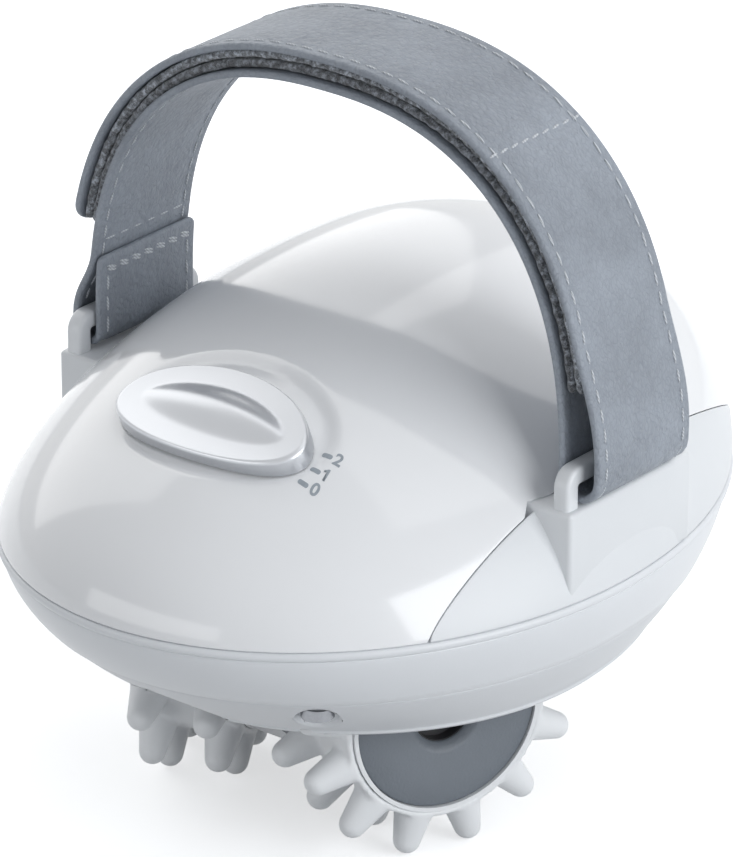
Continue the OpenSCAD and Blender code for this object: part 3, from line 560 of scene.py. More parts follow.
SLOT_Y = -39.0
KNOB_TRAVEL = 4.0
KNOB_HALF = (19.2, 9.2)
SEAT_HALF = (21.0, 13.2)
SLOT_Z = dome_height(0, SLOT_Y)
SWITCH = Matrix.Translation((0, SLOT_Y, SLOT_Z)) @ Matrix.Rotation(TILT, 4, "X")


def seat_share(p):
    """How deep a point lies in the seat round the knob, 1 on its floor and 0 outside it."""
    local = SWITCH.inverted() @ p
    r = hypot((local.x + 0.3) / SEAT_HALF[0], (local.y + 0.5) / SEAT_HALF[1])
    return 1 / (1 + exp(min(60.0, (r - 0.985) * 46)))


def hood_skin(seat_depth):
    nose, front, rear = radians(-90), rim_angle(-42.5), rim_angle(58.5)
    dense = radians(37)
    half = steps((nose, nose + dense, 48), (nose + dense, front - 0.02, 14),
                 (front - 0.02, front + 0.06, 10), (front + 0.06, radians(-23.4), 12),
                 (radians(-23.4), radians(-21.4), 6), (radians(-21.4), rear - 0.06, 50),
                 (rear - 0.06, rear + 0.02, 10), (rear + 0.02, pi / 2, 22))
    turns = half + [pi - t for t in reversed(half[:-1])]
    rows = steps((0, 0.44, 26), (0.44, 0.84, 52), (0.84, 1, 22))
    starts = {}
    for t in turns:
        share = arch_share(t)
        x, y = on_ring(dome_ring(16 / DOME_H), t)
        if abs(x) > 38 and -17.5 < y < 15.9:
            share = max(share, 16 / DOME_H)
        starts[t] = share

    def rule(t, v):
        v = v if v < 0.84 else 1 - (1 - v) ** 2 / 0.16
        u = min(1.0, starts[t] * (1 - v) ** 2 + v + (starts[t] * v * (1 - v)))
        p = dome_point(u, t)
        return p - Vector((0, -sin(TILT), cos(TILT))) * seat_depth * seat_share(p)

    bm = skin(rule, turns, rows, (0, 0, SEAM))
    back = SWITCH.inverted()
    gone = []
    for f in bm.faces:
        c = back @ f.calc_center_median()
        if abs(c.x) < 4.6 and abs(c.y) < 5.0 and c.z > -8:
            gone.append(f)
    bmesh.ops.delete(bm, geom=gone, context="FACES")
    return bm


class MASSAGER_OT_hood(Operator):
    """Glossy hood with the soft-edged seat round the switch"""
    bl_idname = "massager.hood"
    bl_label = "Hood"

    def execute(self, context):
        shell = context.scene.massager_shell
        hood = piece("hood_gloss", hood_skin(shell.seat_depth / MM), "hood", "body", ("hood",))
        thicken(hood, True)
        soften(hood, shell.edge_soft * 0.8, 50)
        bake(hood, "hood", 50)
        return {"FINISHED"}


def panel_skin():
    front, rear = rim_angle(-42.3), rim_angle(58.3)
    turns = steps((front + 0.001, front + 0.05, 10), (front + 0.05, rear - 0.05, 110),
                  (rear - 0.05, rear - 0.001, 10))
    tops = {t: arch_share(t, 0.12) for t in turns}
    return skin(lambda t, v: dome_point(tops[t] * v, t), turns, steps((0, 1, 26)), (0, 0, SEAM))


class MASSAGER_OT_side_panels(Operator):
    """Satin side panels and the bosses that carry the strap"""
    bl_idname = "massager.side_panels"
    bl_label = "Side panels"

    def execute(self, context):
        shell = context.scene.massager_shell
        for side, mark in SIDES:
            bm = panel_skin()
            if side < 0:
                mirrored(bm)
            panel = piece(f"side_panel_{mark}_satin", bm, "panel", "body", (f"side_panel_{mark}",))
            thicken(panel)
            soften(panel, shell.edge_soft * 0.6, 50)
            bake(panel, "panel", 50)
            boss = block((38.5, STRAP_Y - 16.5, SEAM + 0.05), (54.5, STRAP_Y + 16.5, SEAM + BOSS_H), 0.8)
            if side < 0:
                mirrored(boss)
            piece(f"strap_boss_{mark}", boss, "panel", "body")
        return {"FINISHED"}


def ring_solid(profile, turns):
    """A closed hoop from a closed profile of (depth share, inset)."""
    def rule(t, k):
        w, inset = profile[int(k) % len(profile)]
        x, y = on_ring(lower_ring(w, inset), t)
        return Vector((x, y, SEAM - LOWER_H * w))
    bm = skin(rule, turns, list(range(len(profile) + 1)), (0, 0, SEAM - 12))
    face_out(bm)
    return bm


FULL_TURN = [2 * pi * k / 288 for k in range(289)]


class MASSAGER_OT_tray(Operator):
    """Lower tray with its rolled lip and the hole for the supply"""
    bl_idname = "massager.tray"
    bl_label = "Tray"

    def execute(self, context):
        lip = [((0.95 - 0.80 * sin(a)) / LOWER_H, 0.14 - 0.64 * cos(a))
               for a in (radians(d) for d in range(80, -91, -17))]
        wall = [(0.078 + (0.505 - 0.078) * k / 9, 0.0) for k in range(10)]
        foot = [(0.510, 0.10), (0.515, 0.55)]
        inner = [(0.517 * (1 - k / 5), 2.0) for k in range(5)]
        top = [(0.006, 2.0), (0.006, 0.5)]
        bm = ring_solid(top + lip + wall + foot + inner, FULL_TURN)
        tray = piece("lower_tray_satin", bm, "tray", "body", ("lower_tray",), 38)
        hole = rod(3.9, 12, Matrix.Translation((0, 68, SEAM - 6)) @ Matrix.Rotation(pi / 2, 4, "X"))
        tools = cut(tray, [hole])
        soften(tray, 0.25 * MM, 60)
        bake(tray, "tray", 38)
        discard(tools)
        return {"FINISHED"}


SCREW_SPOTS = [(s * 27, y) for s in (-1, 1) for y in (-48.2, 44)]


def well_tube(spot):
    """The wall of a screw well, held inside the skirt of the base."""
    ring = [(3.7, 0.8), (5.0, 0.8), (5.0, 11.2), (3.7, 11.2)]

    def rule(t, k):
        r, up = ring[int(k) % 4]
        x, y, z = spot[0] + r * cos(t), spot[1] + r * sin(t), SEAM - LOWER_H + up
        half, nose, rear, waist = lower_ring((SEAM - z) / LOWER_H, 0.75)
        reach = (waist - nose) if y < waist else (rear - waist)
        far = hypot(x / half, (y - waist) / reach)
        if far > 1:
            x, y = x / far, waist + (y - waist) / far
        return Vector((x, y, z))
    bm = skin(rule, [2 * pi * k / 40 for k in range(41)], [0, 1, 2, 3, 4], (*spot, SEAM - 18))
    face_out(bm)
    return bm


class MASSAGER_OT_base(Operator):
    """Sloped base ring with its bead, screw wells, nose scoop and room for the rollers"""
    bl_idname = "massager.base"
    bl_label = "Base ring"

    def execute(self, context):
        wall = [(0.5205, 0.85)] + [(0.529 + (0.935 - 0.529) * k / 8, 0.4) for k in range(9)]
        bead = [(0.942, 0.36), (0.948, 0.16), (0.956, 0.0), (0.968, -0.08), (0.982, -0.06),
                (0.993, 0.06), (1.0, 0.35)]
        inner = [(1.0, 2.3), (0.9, 2.4), (0.76, 2.4), (0.64, 2.4), (0.519, 2.4)]
        bm = ring_solid(wall + bead + inner, FULL_TURN)
        base = piece("base_ring_satin", bm, "base", "body", ("base_ring",), 38)
        rim = SEAM - LOWER_H
        cutters = [rod(3.7, 40, Matrix.Translation((*p, rim))) for p in SCREW_SPOTS]
        scoop = Matrix.Translation((0, -52.5, rim)) @ Matrix.Rotation(pi / 2, 4, "X")
        cutters.append(rod(8, 35, scoop, 96))
        for side in (1, -1):
            cutters.append(rod(27.6, 21.3, roller_frame(side) @ Matrix.Translation((0, 0, 24.85)), 128))
        tools = cut(base, cutters)
        soften(base, 0.4 * MM, 48, 3)
        bake(base, "base", 38)
        discard(tools)
        for k, spot in enumerate(SCREW_SPOTS):
            piece(f"screw_well_{k + 1}", well_tube(spot), "base", "body")
        return {"FINISHED"}


# Switch

def knob_rise(x, y):
    """Height of the knob's face over the dome at a place on its oval."""
    r = hypot(x / 19.25, y / 9.25)
    dish = 1.55 + 0.75 * r ** 3 + 1.2 * (x / 19.25) ** 2
    tip = max(0.0, 1 - (x / 14.5) ** 2)
    width = 5.3 * tip ** 0.5 + 1e-6
    q = abs(y) / width
    ridge = 1.65 * tip ** 0.8 * (1 - q * q) ** 1.9 if q < 1 else 0.0
    return dish + ridge


def slide_lift(ground):
    """How far the knob's underside rises so that the straight slide clears the curved dome."""
    way = Vector((0, cos(TILT), sin(TILT)))
    places = [ground + way * KNOB_TRAVEL * k / 4 for k in range(5)]
    heights = [dome_height(p.x, p.y) - p.z for p in places]
    return (max(heights) - heights[0]) * cos(TILT)


class MASSAGER_OT_knob(Operator):
    """Silver switch knob with its dished face and grip ridge"""
    bl_idname = "massager.knob"
    bl_label = "Switch knob"

    def execute(self, context):
        up = Vector((0, -sin(TILT), cos(TILT)))
        edge = [(0.962, 0.0), (0.976, 0.10), (0.988, 0.26), (0.997, 0.48), (1.0, 0.75)]
        levels = [k / 34 * 0.95 for k in range(35)] + [r for r, _ in edge] + [1.006, 1.006, 0.9, 0.55]

        def rule(t, k):
            k = int(k)
            r = levels[k]
            x, y = KNOB_HALF[0] * min(r, 1) * cos(t), KNOB_HALF[1] * min(r, 1) * sin(t)
            ground = SWITCH @ Vector((x, y - 2, 0))
            base = Vector((ground.x, ground.y, dome_height(ground.x, ground.y)))
            if k < 35:
                rise = knob_rise(x, y)
            elif k < 40:
                rise = knob_rise(x, y) - edge[k - 35][1]
            else:
                rise = (0.8, -0.35, -0.4, -0.4)[k - 40] + (slide_lift(ground) if k > 40 else 0.0)
            return base + up * rise

        bm = skin(rule, [2 * pi * k / 128 for k in range(129)], list(range(len(levels))),
                  (0, -41, SEAM + 20))
        rims = [e for e in bm.edges if e.is_boundary]
        bmesh.ops.holes_fill(bm, edges=rims, sides=0)
        outward(bm, SWITCH @ Vector((0, -2, -6)))
        stem = block((-4.1, -4.5, -4.2), (4.1, 0.5, 0.2), 0.3, 2)
        bmesh.ops.transform(stem, matrix=SWITCH, verts=stem.verts)
        piece("switch_knob_silver", merged(bm, stem), "knob", "switch_slider", ("switch_knob",), 50)
        return {"FINISHED"}


def lay_on_dome(bm, x, y, turn, lift):
    """Lays a flat mark in plan on the dome, a hair above the lacquer."""
    place = Matrix.Translation((x, y, 0)) @ Matrix.Rotation(turn, 4, "Z")
    bmesh.ops.transform(bm, matrix=place, verts=bm.verts)
    for v in bm.verts:
        ground = Vector((v.co.x, v.co.y, dome_height(v.co.x, v.co.y)))
        v.co.z += ground.z + lift - 0.6 * seat_share(ground)


class MASSAGER_OT_marks(Operator):
    """Printed dashes and position numbers beside the switch"""
    bl_idname = "massager.marks"
    bl_label = "Switch marks"

    def execute(self, context):
        marks = bmesh.new()
        for x, y in ((20.6, -43.8), (20.8, -40.9), (20.7, -37.7)):
            dash = bmesh.new()
            bmesh.ops.create_grid(dash, x_segments=6, y_segments=2, size=0.5)
            bmesh.ops.scale(dash, vec=(1.9, 0.8, 1), verts=dash.verts)
            corners = [v for v in dash.verts if len(v.link_edges) == 2]
            bmesh.ops.bevel(dash, geom=corners, offset=0.34, segments=4, profile=0.5,
                            affect="VERTICES", material=-1)
            face_out(dash)
            bmesh.ops.solidify(dash, geom=dash.faces[:], thickness=0.03)
            lay_on_dome(dash, x, y, radians(4), 0.04)
            merged(marks, dash)
        for digit, x, y in (("0", 22.75, -43.5), ("2", 22.7, -37.4)):
            curve = bpy.data.curves.new("digit", "FONT")
            curve.body, curve.size, curve.align_x, curve.align_y = digit, 2.9, "CENTER", "CENTER"
            curve.extrude, curve.offset, curve.resolution_u = 0.015, 0.075, 6
            holder = linked("digit", curve)
            graph = context.evaluated_depsgraph_get()
            mesh = bpy.data.meshes.new_from_object(holder.evaluated_get(graph))
            bpy.data.objects.remove(holder)
            number = bmesh.new()
            number.from_mesh(mesh)
            bmesh.ops.remove_doubles(number, verts=number.verts, dist=1e-5)
            bmesh.ops.triangulate(number, faces=number.faces[:])
            lay_on_dome(number, x, y, radians(8), 0.045)
            merged(marks, number)
        # the middle number: a stroke with its flag
        one = bmesh.new()
        outline = ((-0.16, -1.05), (0.26, -1.05), (0.26, 1.05), (-0.02, 1.05), (-0.62, 0.62), (-0.62, 0.2),
                   (-0.16, 0.45))
        one.faces.new([one.verts.new((x, y, 0)) for x, y in outline])
        bmesh.ops.solidify(one, geom=one.faces[:], thickness=0.03)
        lay_on_dome(one, 22.7, -40.5, radians(8), 0.045)
        merged(marks, one)
        face_out(marks)
        piece("switch_marks", marks, "mark", "body", sharp=30)
        return {"FINISHED"}


# Strap

HAND_R, HAND_L, HAND_B, BAR_Z, STACK = 48.6, 50.0, 53.4, 21.2, 6.0
BAND, PILE = 1.3, 1.7
PILE_SEED = 5
LOOP_X = 51.8


def arch_point(t, off):
    """A point on the strap's inner arch, moved outwards, as (across the body, above the seam)."""
    a = HAND_R if cos(t) > 0 else HAND_L
    c, s = abs(cos(t)) ** (2 / 2.4), abs(sin(t)) ** (2 / 2.4)
    sign = 1 if cos(t) >= 0 else -1
    gx, gz = sign * c ** 1.4 / a, s ** 1.4 / HAND_B
    g = hypot(gx, gz)
    return Vector((sign * a * c + off * gx / g, BAR_Z + HAND_B * s + off * gz / g))


def angle_at(height):
    return asin(((height - BAR_Z) / HAND_B) ** 1.2)


def arc(t0, t1, off, n):
    return [arch_point(t0 + (t1 - t0) * i / n, off) for i in range(n + 1)]


def smooth_run(p, n=16):
    return [p[0] * (1 - t) ** 3 + p[1] * 3 * (1 - t) ** 2 * t + p[2] * 3 * (1 - t) * t * t + p[3] * t ** 3
            for t in (i / n for i in range(n + 1))]


def fold(x0, x1, n=18):
    c, r = (x0 + x1) / 2, (x1 - x0) / 2
    z = BOSS_H + 0.3 + abs(r) + BAND / 2
    return [Vector((c - r * cos(pi * i / n), z - abs(r) * sin(pi * i / n)))
            for i in range(n + 1)]


def strap_line():
    """The band's middle line, from its sewn tail to its free end."""
    half = BAND / 2
    left = fold(-(HAND_L - 0.1 - half), -(LOOP_X + 1.6 + 0.3 + half))
    right = fold(HAND_R + half, 57 - half)
    q = arch_point(pi - angle_at(33.5), half)
    left_leg = smooth_run([left[-1] + Vector((0, 2)), left[-1] + Vector((0, 7)), q - Vector((0.6, 5)), q])
    q = arch_point(angle_at(42), STACK - half)
    start = right[-1]
    right_leg = smooth_run([start + Vector((0, 1)), start + Vector((0.5, 9)), q - Vector((-2.2, 7)), q])
    runs = [arc(pi - angle_at(33), pi - angle_at(BAR_Z + 0.3), -0.1 - half, 10), left, left_leg,
            arc(pi - angle_at(33.5) - radians(1), angle_at(BAR_Z + 0.5), half, 64), right, right_leg,
            arc(angle_at(42) + radians(1), pi - angle_at(37), STACK - half, 64)]
    points = []
    for run in runs:
        for p in run:
            if not points or (p - points[-1]).length > 0.15:
                points.append(p)
    return points


class Line:
    """A polyline that gives its place and direction at any length along it."""

    def __init__(self, points):
        self.points = points
        self.marks = [0.0]
        for a, b in zip(points, points[1:]):
            self.marks.append(self.marks[-1] + (b - a).length)
        self.length = self.marks[-1]

    def at(self, d):
        d = min(max(d, 0.0), self.length)
        low, high = 0, len(self.marks) - 2
        while low < high:
            k = (low + high + 1) // 2
            if self.marks[k] <= d:
                low = k
            else:
                high = k - 1
        k = low
        f = (d - self.marks[k]) / max(1e-9, self.marks[k + 1] - self.marks[k])
        p, n = self.points, len(self.points)
        here = p[k].lerp(p[k + 1], f)
        ta = (p[min(k + 1, n - 1)] - p[max(k - 1, 0)]).normalized()
        tb = (p[min(k + 2, n - 1)] - p[k]).normalized()
        way = ta.lerp(tb, f).normalized()
        return here, way

    def nearest(self, target, low=0.0, high=1e9):
        """Length along the line at which it passes closest to a point."""
        return min((d for d in (self.length * i / 1500 for i in range(1501)) if low <= d <= high),
                   key=lambda d: (self.at(d)[0] - target).length)

    def place(self, d, across, out):
        """A point at a length along the line, across the band and out of its right-hand face."""
        here, way = self.at(d)
        return Vector((here.x + out * way.y, STRAP_Y + across, SEAM + here.y - out * way.x))


def band_section(width, thick, stitch, soft):
    """Half outline of a sewn band: rolled edges, a channel under the stitching, a slight crown."""
    flat = width / 2 - thick
    side = []
    count = 26
    for k in range(count + 1):
        x = -flat + 2 * flat * k / count
        far = flat + thick - abs(x)
        lift = 0.07 * (1 - (x / flat) ** 2) - soft * exp(-((far - stitch) / 0.55) ** 2)
        side.append((x, thick + lift))
    for k in range(1, 8):
        a = pi / 2 - pi * k / 8
        side.append((flat + thick * cos(a), thick * sin(a)))
    return side + [(-x, -y) for x, y in side]


def band(line, section, d0, d1, width, ends=(4.0, 4.0), wobble=0.0, gap=1.3):
    """Sweeps a band's section along a line and rounds its corners and its ends."""
    count = int((d1 - d0) / gap)
    fine = [0, 0.05, 0.15, 0.3, 0.5, 0.8, 1.2, 1.8, 2.5, 3.2, 4.0]
    stations = [d0 + f for f in fine] + steps((d0 + 4.8, d1 - 4.8, count)) + [d1 - f for f in reversed(fine)]
    n = len(section)

    def rule(d, k):
        x, y = section[int(k) % n]
        near = min(d - d0, d1 - d)
        corner = ends[0] if d - d0 < d1 - d else ends[1]
        squeeze = 1.0
        if near < corner:
            rounding = sqrt(max(0, corner ** 2 - (corner - near) ** 2))
            squeeze = (width / 2 - corner + rounding) / (width / 2)
        thin = sqrt(max(0.0, 1 - (1 - near / 0.7) ** 2)) if near < 0.7 else 1.0
        p = line.place(d, x * squeeze, y * thin)
        if wobble:
            p += noise.noise_vector(p * 0.9) * wobble
        return p

    # unseeded, this noise starts from the clock and differs from run to run
    noise.seed_set(PILE_SEED)
    bm = skin(rule, stations, list(range(n + 1)), (0, 0, 0))
    face_out(bm)
    return bm


LINE = Line(strap_line())
HALF_BAND = BAND / 2
D_LEFT = LINE.nearest(Vector((-LOOP_X, 17.0)), 0, 60)
D_TOP_HAND = LINE.nearest(Vector((0, BAR_Z + HAND_B)), 60, 200)
D_RIGHT = LINE.nearest(Vector((LOOP_X + 1, 16.5)), 150, 300)
D_TOP = LINE.nearest(Vector((0, BAR_Z + HAND_B + STACK)), 220, 500)


class MASSAGER_OT_strap(Operator):
    """Hand strap of imitation leather with rolled edges and stitch channels"""
    bl_idname = "massager.strap"
    bl_label = "Hand strap"

    def execute(self, context):
        strap = context.scene.massager_strap
        section = band_section(STRAP_W, HALF_BAND, strap.stitch_inset / MM, 0.2)
        bm = band(LINE, section, 0, LINE.length, STRAP_W, (1.5, 4.2))
        piece("strap_leather", bm, "strap", "body", ("strap_band",), 60)
        return {"FINISHED"}


class MASSAGER_OT_touch_strips(Operator):
    """Hook and loop strips between the strap's layers"""
    bl_idname = "massager.touch_strips"
    bl_label = "Touch strips"

    def execute(self, context):
        for layer, (name, slot, node) in enumerate((
                ("hook_pile", "hook", "hook_strip"), ("loop_pile", "pile", "loop_strip"))):
            line = Line(arc(angle_at(34), pi - angle_at(38), BAND + (layer + 0.5) * PILE, 90))
            section = band_section(22.4, 0.73, 2.0, 0.0)
            bm = band(line, section, 0, line.length, 22.4, (1, 1), 0.22, 0.55)
            piece(name, bm, slot, "body", (node,), 80)
        return {"FINISHED"}


def stitch(bm, a, b, out, thick):
    """One stitch: a thread that comes up at one hole and goes down at the next."""
    way = b - a
    side = way.normalized().cross(out).normalized()
    turn = Matrix((way.normalized(), side, out.normalized())).transposed().to_4x4()
    size = Matrix.Diagonal((way.length / 2, thick / 2, thick * 0.42, 1))
    place = Matrix.Translation((a + b) / 2) @ turn @ size
    bmesh.ops.create_uvsphere(bm, u_segments=8, v_segments=6, radius=1,
                              matrix=place @ Matrix.Rotation(pi / 2, 4, "Y"))


def sew_along(bm, line, d0, d1, across, out, pitch, thick=0.52, wander=0.06):
    count = max(1, round((d1 - d0) / pitch))
    for k in range(count):
        a, b = d0 + (d1 - d0) * (k + 0.13) / count, d0 + (d1 - d0) * (k + 0.87) / count
        sway = wander * sin(k * 2.4) + 0.05
        normal = (line.place((a + b) / 2, across, out * 2) - line.place((a + b) / 2, across, 0)).normalized()
        stitch(bm, line.place(a, across - sway, out), line.place(b, across + sway, out), normal, thick)


def sew_across(bm, line, d, low, high, out, pitch, thick=0.52, slant=0.0):
    count = max(1, round((high - low) / pitch))
    for k in range(count):
        a, b = low + (high - low) * (k + 0.12) / count, low + (high - low) * (k + 0.88) / count
        normal = (line.place(d, 0, out * 2) - line.place(d, 0, 0)).normalized()
        stitch(bm, line.place(d - slant, a, out), line.place(d + slant, b, out), normal, thick)


class MASSAGER_OT_stitching(Operator):
    """Light stitching along the strap's edges, at its seams and at the sewn tail"""
    bl_idname = "massager.stitching"
    bl_label = "Stitching"

    def execute(self, context):
        strap = context.scene.massager_strap
        pitch, row = strap.stitch_pitch / MM, 12.5 - strap.stitch_inset / MM
        bm = bmesh.new()
        deep = HALF_BAND - 0.05
        free = LINE.length - 3.0
        for across in (-row, row):
            # outer face of the top layer and of the right fold
            sew_along(bm, LINE, D_RIGHT + 2, free, across, deep, pitch)
            # hand side of the inner layer
            sew_along(bm, LINE, D_LEFT + 8, D_RIGHT - 3, across, deep, pitch, 0.42)
            # hand side of the tail
            sew_along(bm, LINE, 3.2, D_LEFT - 3, across, -deep, pitch)
            # outside of the left leg
            sew_along(bm, LINE, D_LEFT + 1.5, D_LEFT + 22, across, -deep, pitch, 0.42)
        # seam across the outer layer
        seam = LINE.nearest(arch_point(angle_at(66.5), STACK - HALF_BAND), D_TOP - 80, D_TOP)
        sew_across(bm, LINE, seam, -12.3, 12.3, HALF_BAND + 0.02, pitch * 0.82, 0.5, 0.15)
        sew_across(bm, LINE, free, -row, row, deep, pitch)
        # double row at the top of the tail, and the row above it on the inner layer
        for shift in (2.2, 2.75):
            sew_across(bm, LINE, shift, -11.2, 11.2, -deep - 0.05, pitch * 0.95, 0.58, 0.35)
        above = LINE.nearest(arch_point(pi - angle_at(35.5), HALF_BAND), D_LEFT + 5, D_TOP_HAND)
        sew_across(bm, LINE, above, -row, row, deep, pitch, 0.45)
        face_out(bm)
        piece("strap_stitching", bm, "thread", "body", sharp=80)
        return {"FINISHED"}


class MASSAGER_OT_strap_loops(Operator):
    """Rounded bar loops that hold the strap"""
    bl_idname = "massager.strap_loops"
    bl_label = "Strap loops"

    def execute(self, context):
        reach, top, foot, corner = 14.3, 21.2, 12.3, 1.9
        line = [(-reach, foot), (-reach, top - corner)]
        line += [(-reach + corner - corner * cos(a), top - corner + corner * sin(a))
                 for a in (radians(d) for d in (15, 30, 45, 60, 75))]
        line += [(-reach + corner, top), (0, top)]
        line += [(-y, z) for y, z in reversed(line[:-1])]
        section = []
        for k in range(4):
            for a in (0, 22.5, 45, 67.5, 90):
                b = radians(a + 90 * k)
                cx, cy = ((1, 1), (-1, 1), (-1, -1), (1, -1))[k]
                section.append((cx * 0.85 + 0.75 * cos(b), cy * 0.85 + 0.75 * sin(b)))

        def rule(i, k):
            i = int(i)
            y, z = line[i]
            a, b = Vector(line[max(i - 1, 0)]), Vector(line[min(i + 1, len(line) - 1)])
            way = (b - a).normalized()
            sx, sn = section[int(k) % len(section)]
            # the section keeps its width round the corners
            return Vector((LOOP_X + sx, STRAP_Y + y + sn * way.y, SEAM + z - sn * way.x))

        for side, mark in SIDES:
            bm = skin(rule, list(range(len(line))), list(range(len(section) + 1)), (0, 0, 0))
            bmesh.ops.holes_fill(bm, edges=[e for e in bm.edges if e.is_boundary], sides=0)
            face_out(bm)
            low, high = (50.3, STRAP_Y - 15.8, SEAM + 12.2), (52.3, STRAP_Y + 15.8, SEAM + 13.7)
            merged(bm, block(low, high, 0.2, 1))
            if side < 0:
                mirrored(bm)
            piece(f"strap_loop_{mark}_white", bm, "loop", "body", (f"strap_loop_{mark}",), 60)
        return {"FINISHED"}


# Rollers

class MASSAGER_OT_tyres(Operator):
    """Soft tyres whose nubs grow out of the sleeve with a fillet"""
    bl_idname = "massager.tyres"
    bl_label = "Roller tyres"

    def execute(self, context):
        cell = context.scene.massager_rollers.nub_blend
        for mark in ("right", "left"):
            node = frame["nodes"][f"nub_tyre_{mark}"]
            bm = bmesh.new()
            bm.from_mesh(node.data)
            bmesh.ops.scale(bm, vec=(1 / MM,) * 3, verts=bm.verts)
            bmesh.ops.remove_doubles(bm, verts=bm.verts, dist=1e-3)
            face_out(bm)
            tyre = piece(f"nub_tyre_{mark}_soft", bm, "nubs", f"wheel_{mark}", (f"nub_tyre_{mark}",), 70)
            cells = tyre.modifiers.new("Cells", "REMESH")
            cells.mode, cells.voxel_size = "VOXEL", cell
            soft = tyre.modifiers.new("Fillets", "SMOOTH")
            soft.factor, soft.iterations = 0.5, 7
            bake(tyre, "nubs", 70)
        return {"FINISHED"}


class MASSAGER_OT_roller_ends(Operator):
    """Grained end discs with a dished hole, and a black cup of painted shade in each hole"""
    bl_idname = "massager.roller_ends"
    bl_label = "Roller ends"

    def execute(self, context):
        face = 33.8
        profile = [(5.4, face - 1.6), (16.6, face - 1.6), (16.6, face - 0.35), (16.5, face - 0.13),
                   (16.3, face), (12, face), (7.1, face), (6.75, face - 0.06), (6.4, face - 0.25),
                   (6.0, face - 0.6), (5.6, face - 1.05), (5.4, face - 1.35)]
        for side, mark in SIDES:
            bm = lathe(profile, 128, roller_frame(side))
            piece(f"end_disc_{mark}_grained", bm, "disc", f"wheel_{mark}", (f"end_disc_{mark}",), 40)
            # a black cup inside each hub hole: painted shade standing in for the shadow in the hollow round
            # the axle end
            shade_cup_outline = [(2.2, 30.22), (5.6, 30.22), (5.6, 32.15), (5.25, 32.15), (5.25, 30.27), (2.2, 30.27)]
            cup = lathe(shade_cup_outline, 64, roller_frame(side))
            piece(f"hub_painted_shade_cup_{mark}", cup, "dark", f"wheel_{mark}")
        return {"FINISHED"}


# Inner parts and stage

NODE_SLOTS = {s["node"]: s["material_slot"] for s in frame["record"]["subparts"]}


class MASSAGER_OT_inner_parts(Operator):
    """Finishes of the solids that keep their own shape"""
    bl_idname = "massager.inner_parts"
    bl_label = "Inner parts"

    def execute(self, context):
        for name, node in frame["nodes"].items():
            mat = finish(NODE_SLOTS[name])
            if not node.material_slots:
                node.data.materials.append(mat)
            for place in node.material_slots:
                place.material = mat
        return {"FINISHED"}


def soft_light(name, place, aim, size, power, tint=(1, 1, 1)):
    data = bpy.data.lights.new(name, "AREA")
    data.shape, data.size, data.size_y = "RECTANGLE", size[0], size[1]
    data.energy, data.color = power, tint
    lamp = linked(name, data)
    lamp.location = place
    lamp.rotation_euler = (Vector(aim) - Vector(place)).to_track_quat("-Z", "Y").to_euler()


def split_by_ray(tree, lighting, seen):
    """One shader for what the camera, a mirror or glass sees, another for what lights the object."""
    path = add_node(tree, "LightPath", {})
    total = path["Is Camera Ray"]
    for kind in ("Is Glossy Ray", "Is Transmission Ray"):
        total = add_node(tree, "Math", {0: total, 1: path[kind]}, operation="ADD", use_clamp=True)[0]
    return add_node(tree, "MixShader", {0: total, 1: lighting, 2: seen})[0]


class MASSAGER_OT_stage(Operator):
    """Pale floor, soft studio light and the camera"""
    bl_idname = "massager.stage"
    bl_label = "Stage"

    def execute(self, context):
        scene = context.scene
        bm = bmesh.new()
        bmesh.ops.create_grid(bm, x_segments=1, y_segments=1, size=3.0)
        floor = linked("floor", meshed("floor", bm))
        floor.location.z = -0.0003
        mat = bpy.data.materials.new("Pale floor")
        mat.use_nodes = True
        tree = mat.node_tree
        tree.nodes.clear()
        out = tree.nodes.new("ShaderNodeOutputMaterial")
        matte = add_node(tree, "BsdfDiffuse", {"Color": (0.86, 0.87, 0.88, 1)})[0]
        dim = add_node(tree, "BsdfDiffuse", {"Color": (0.50, 0.51, 0.52, 1)})[0]
        glow = add_node(tree, "Emission", {"Strength": 0.55})[0]
        both = add_node(tree, "AddShader", {0: matte, 1: glow})[0]
        feed(tree, out, {"Surface": split_by_ray(tree, dim, both)})
        floor.data.materials.append(mat)

        world = bpy.data.worlds.new("Studio")
        scene.world = world
        world.use_nodes = True
        tree = world.node_tree
        tree.nodes.clear()
        out = tree.nodes.new("ShaderNodeOutputWorld")
        fill = add_node(tree, "Background", {"Color": (0.90, 0.94, 1.0, 1), "Strength": 0.27})[0]
        white = add_node(tree, "Background", {"Color": (1, 1, 1, 1), "Strength": 1.0})[0]
        feed(tree, out, {"Surface": split_by_ray(tree, fill, white)})

        aim = (0, 0, 0.06)
        soft_light("Key", (-0.95, 0.38, 0.75), aim, (1.3, 1.2), 5.6, (1.0, 0.995, 0.98))
        soft_light("Top", (0.15, 0.70, 1.2), aim, (1.7, 1.5), 7.6)
        soft_light("Right", (1.0, 0.0, 0.30), aim, (0.7, 0.9), 7.8, (0.97, 0.985, 1.0))
        soft_light("Front", (-0.30, -1.1, 0.16), aim, (1.2, 0.5), 3.0)

        data = bpy.data.cameras.new("Camera")
        data.sensor_width, data.sensor_fit, data.lens = 36, "HORIZONTAL", 318.36
        data.clip_start, data.clip_end = 0.01, 20
        camera = linked("Camera", data)
        azimuth, elevation = radians(38.56), radians(23.87)
        look = Vector((-sin(azimuth) * cos(elevation),
                       cos(azimuth) * cos(elevation), -sin(elevation)))
        camera.location = (0.62517, -0.78499, 0.50612)
        camera.rotation_euler = look.to_track_quat("-Z", "Y").to_euler()
        scene.camera = camera
        scene.view_settings.view_transform = "Standard"
        return {"FINISHED"}


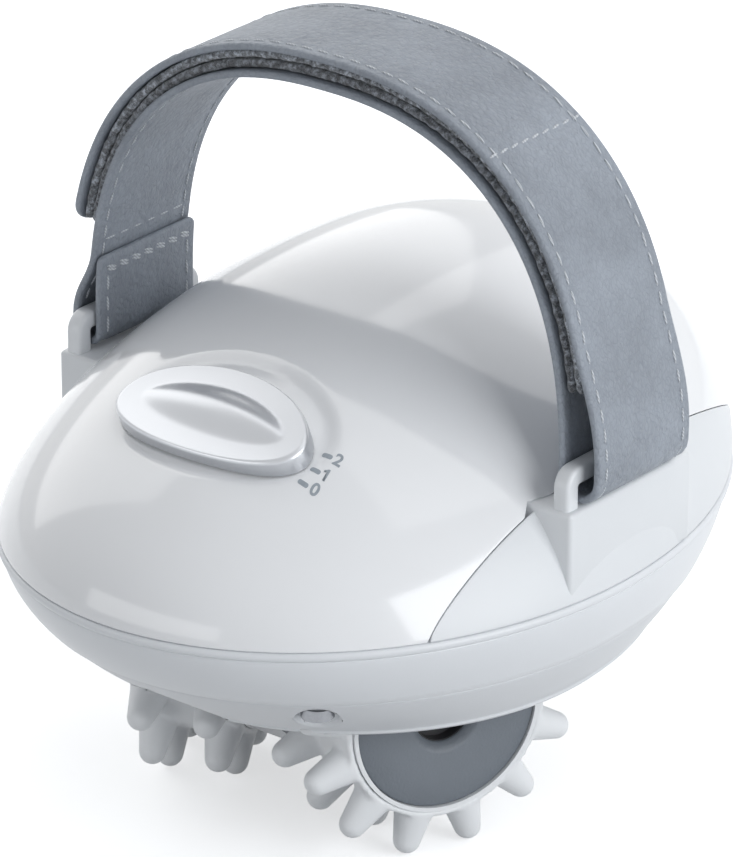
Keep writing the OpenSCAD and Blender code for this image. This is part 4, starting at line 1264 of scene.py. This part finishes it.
class MASSAGER_PT_sidebar(bpy.types.Panel):
    """Sizes, colours and pieces of the massager"""
    bl_idname = "MASSAGER_PT_sidebar"
    bl_label = "Massager"
    bl_space_type = "VIEW_3D"
    bl_region_type = "UI"
    bl_category = "Massager"

    def draw(self, context):
        scene = context.scene
        for title, group in (("Shell", scene.massager_shell), ("Strap", scene.massager_strap),
                             ("Rollers and switch", scene.massager_rollers)):
            box = self.layout.box()
            box.label(text=title)
            for key in group.__annotations__:
                box.prop(group, key)
        column = self.layout.column(align=True)
        for cls in PIECES:
            column.operator(cls.bl_idname)


SETTINGS = (MassagerShellSettings, MassagerStrapSettings, MassagerRollerSettings)
PIECES = (MASSAGER_OT_inner_parts, MASSAGER_OT_hood, MASSAGER_OT_side_panels, MASSAGER_OT_tray,
          MASSAGER_OT_base, MASSAGER_OT_knob, MASSAGER_OT_marks, MASSAGER_OT_strap,
          MASSAGER_OT_touch_strips, MASSAGER_OT_stitching, MASSAGER_OT_strap_loops,
          MASSAGER_OT_tyres, MASSAGER_OT_roller_ends, MASSAGER_OT_stage)
CLASSES = SETTINGS + PIECES + (MASSAGER_PT_sidebar,)


def register():
    for cls in CLASSES:
        bpy.utils.register_class(cls)
    bpy.types.Scene.massager_shell = bpy.props.PointerProperty(type=MassagerShellSettings)
    bpy.types.Scene.massager_strap = bpy.props.PointerProperty(type=MassagerStrapSettings)
    bpy.types.Scene.massager_rollers = bpy.props.PointerProperty(type=MassagerRollerSettings)


def unregister():
    del bpy.types.Scene.massager_shell, bpy.types.Scene.massager_strap, bpy.types.Scene.massager_rollers
    for cls in reversed(CLASSES):
        bpy.utils.unregister_class(cls)


def main():
    register()
    bpy.ops.massager.inner_parts()
    bpy.ops.massager.hood()
    bpy.ops.massager.side_panels()
    bpy.ops.massager.tray()
    bpy.ops.massager.base()
    bpy.ops.massager.knob()
    bpy.ops.massager.marks()
    bpy.ops.massager.strap()
    bpy.ops.massager.touch_strips()
    bpy.ops.massager.stitching()
    bpy.ops.massager.strap_loops()
    bpy.ops.massager.tyres()
    bpy.ops.massager.roller_ends()
    bpy.ops.massager.stage()


if __name__ == "__main__":
    main()
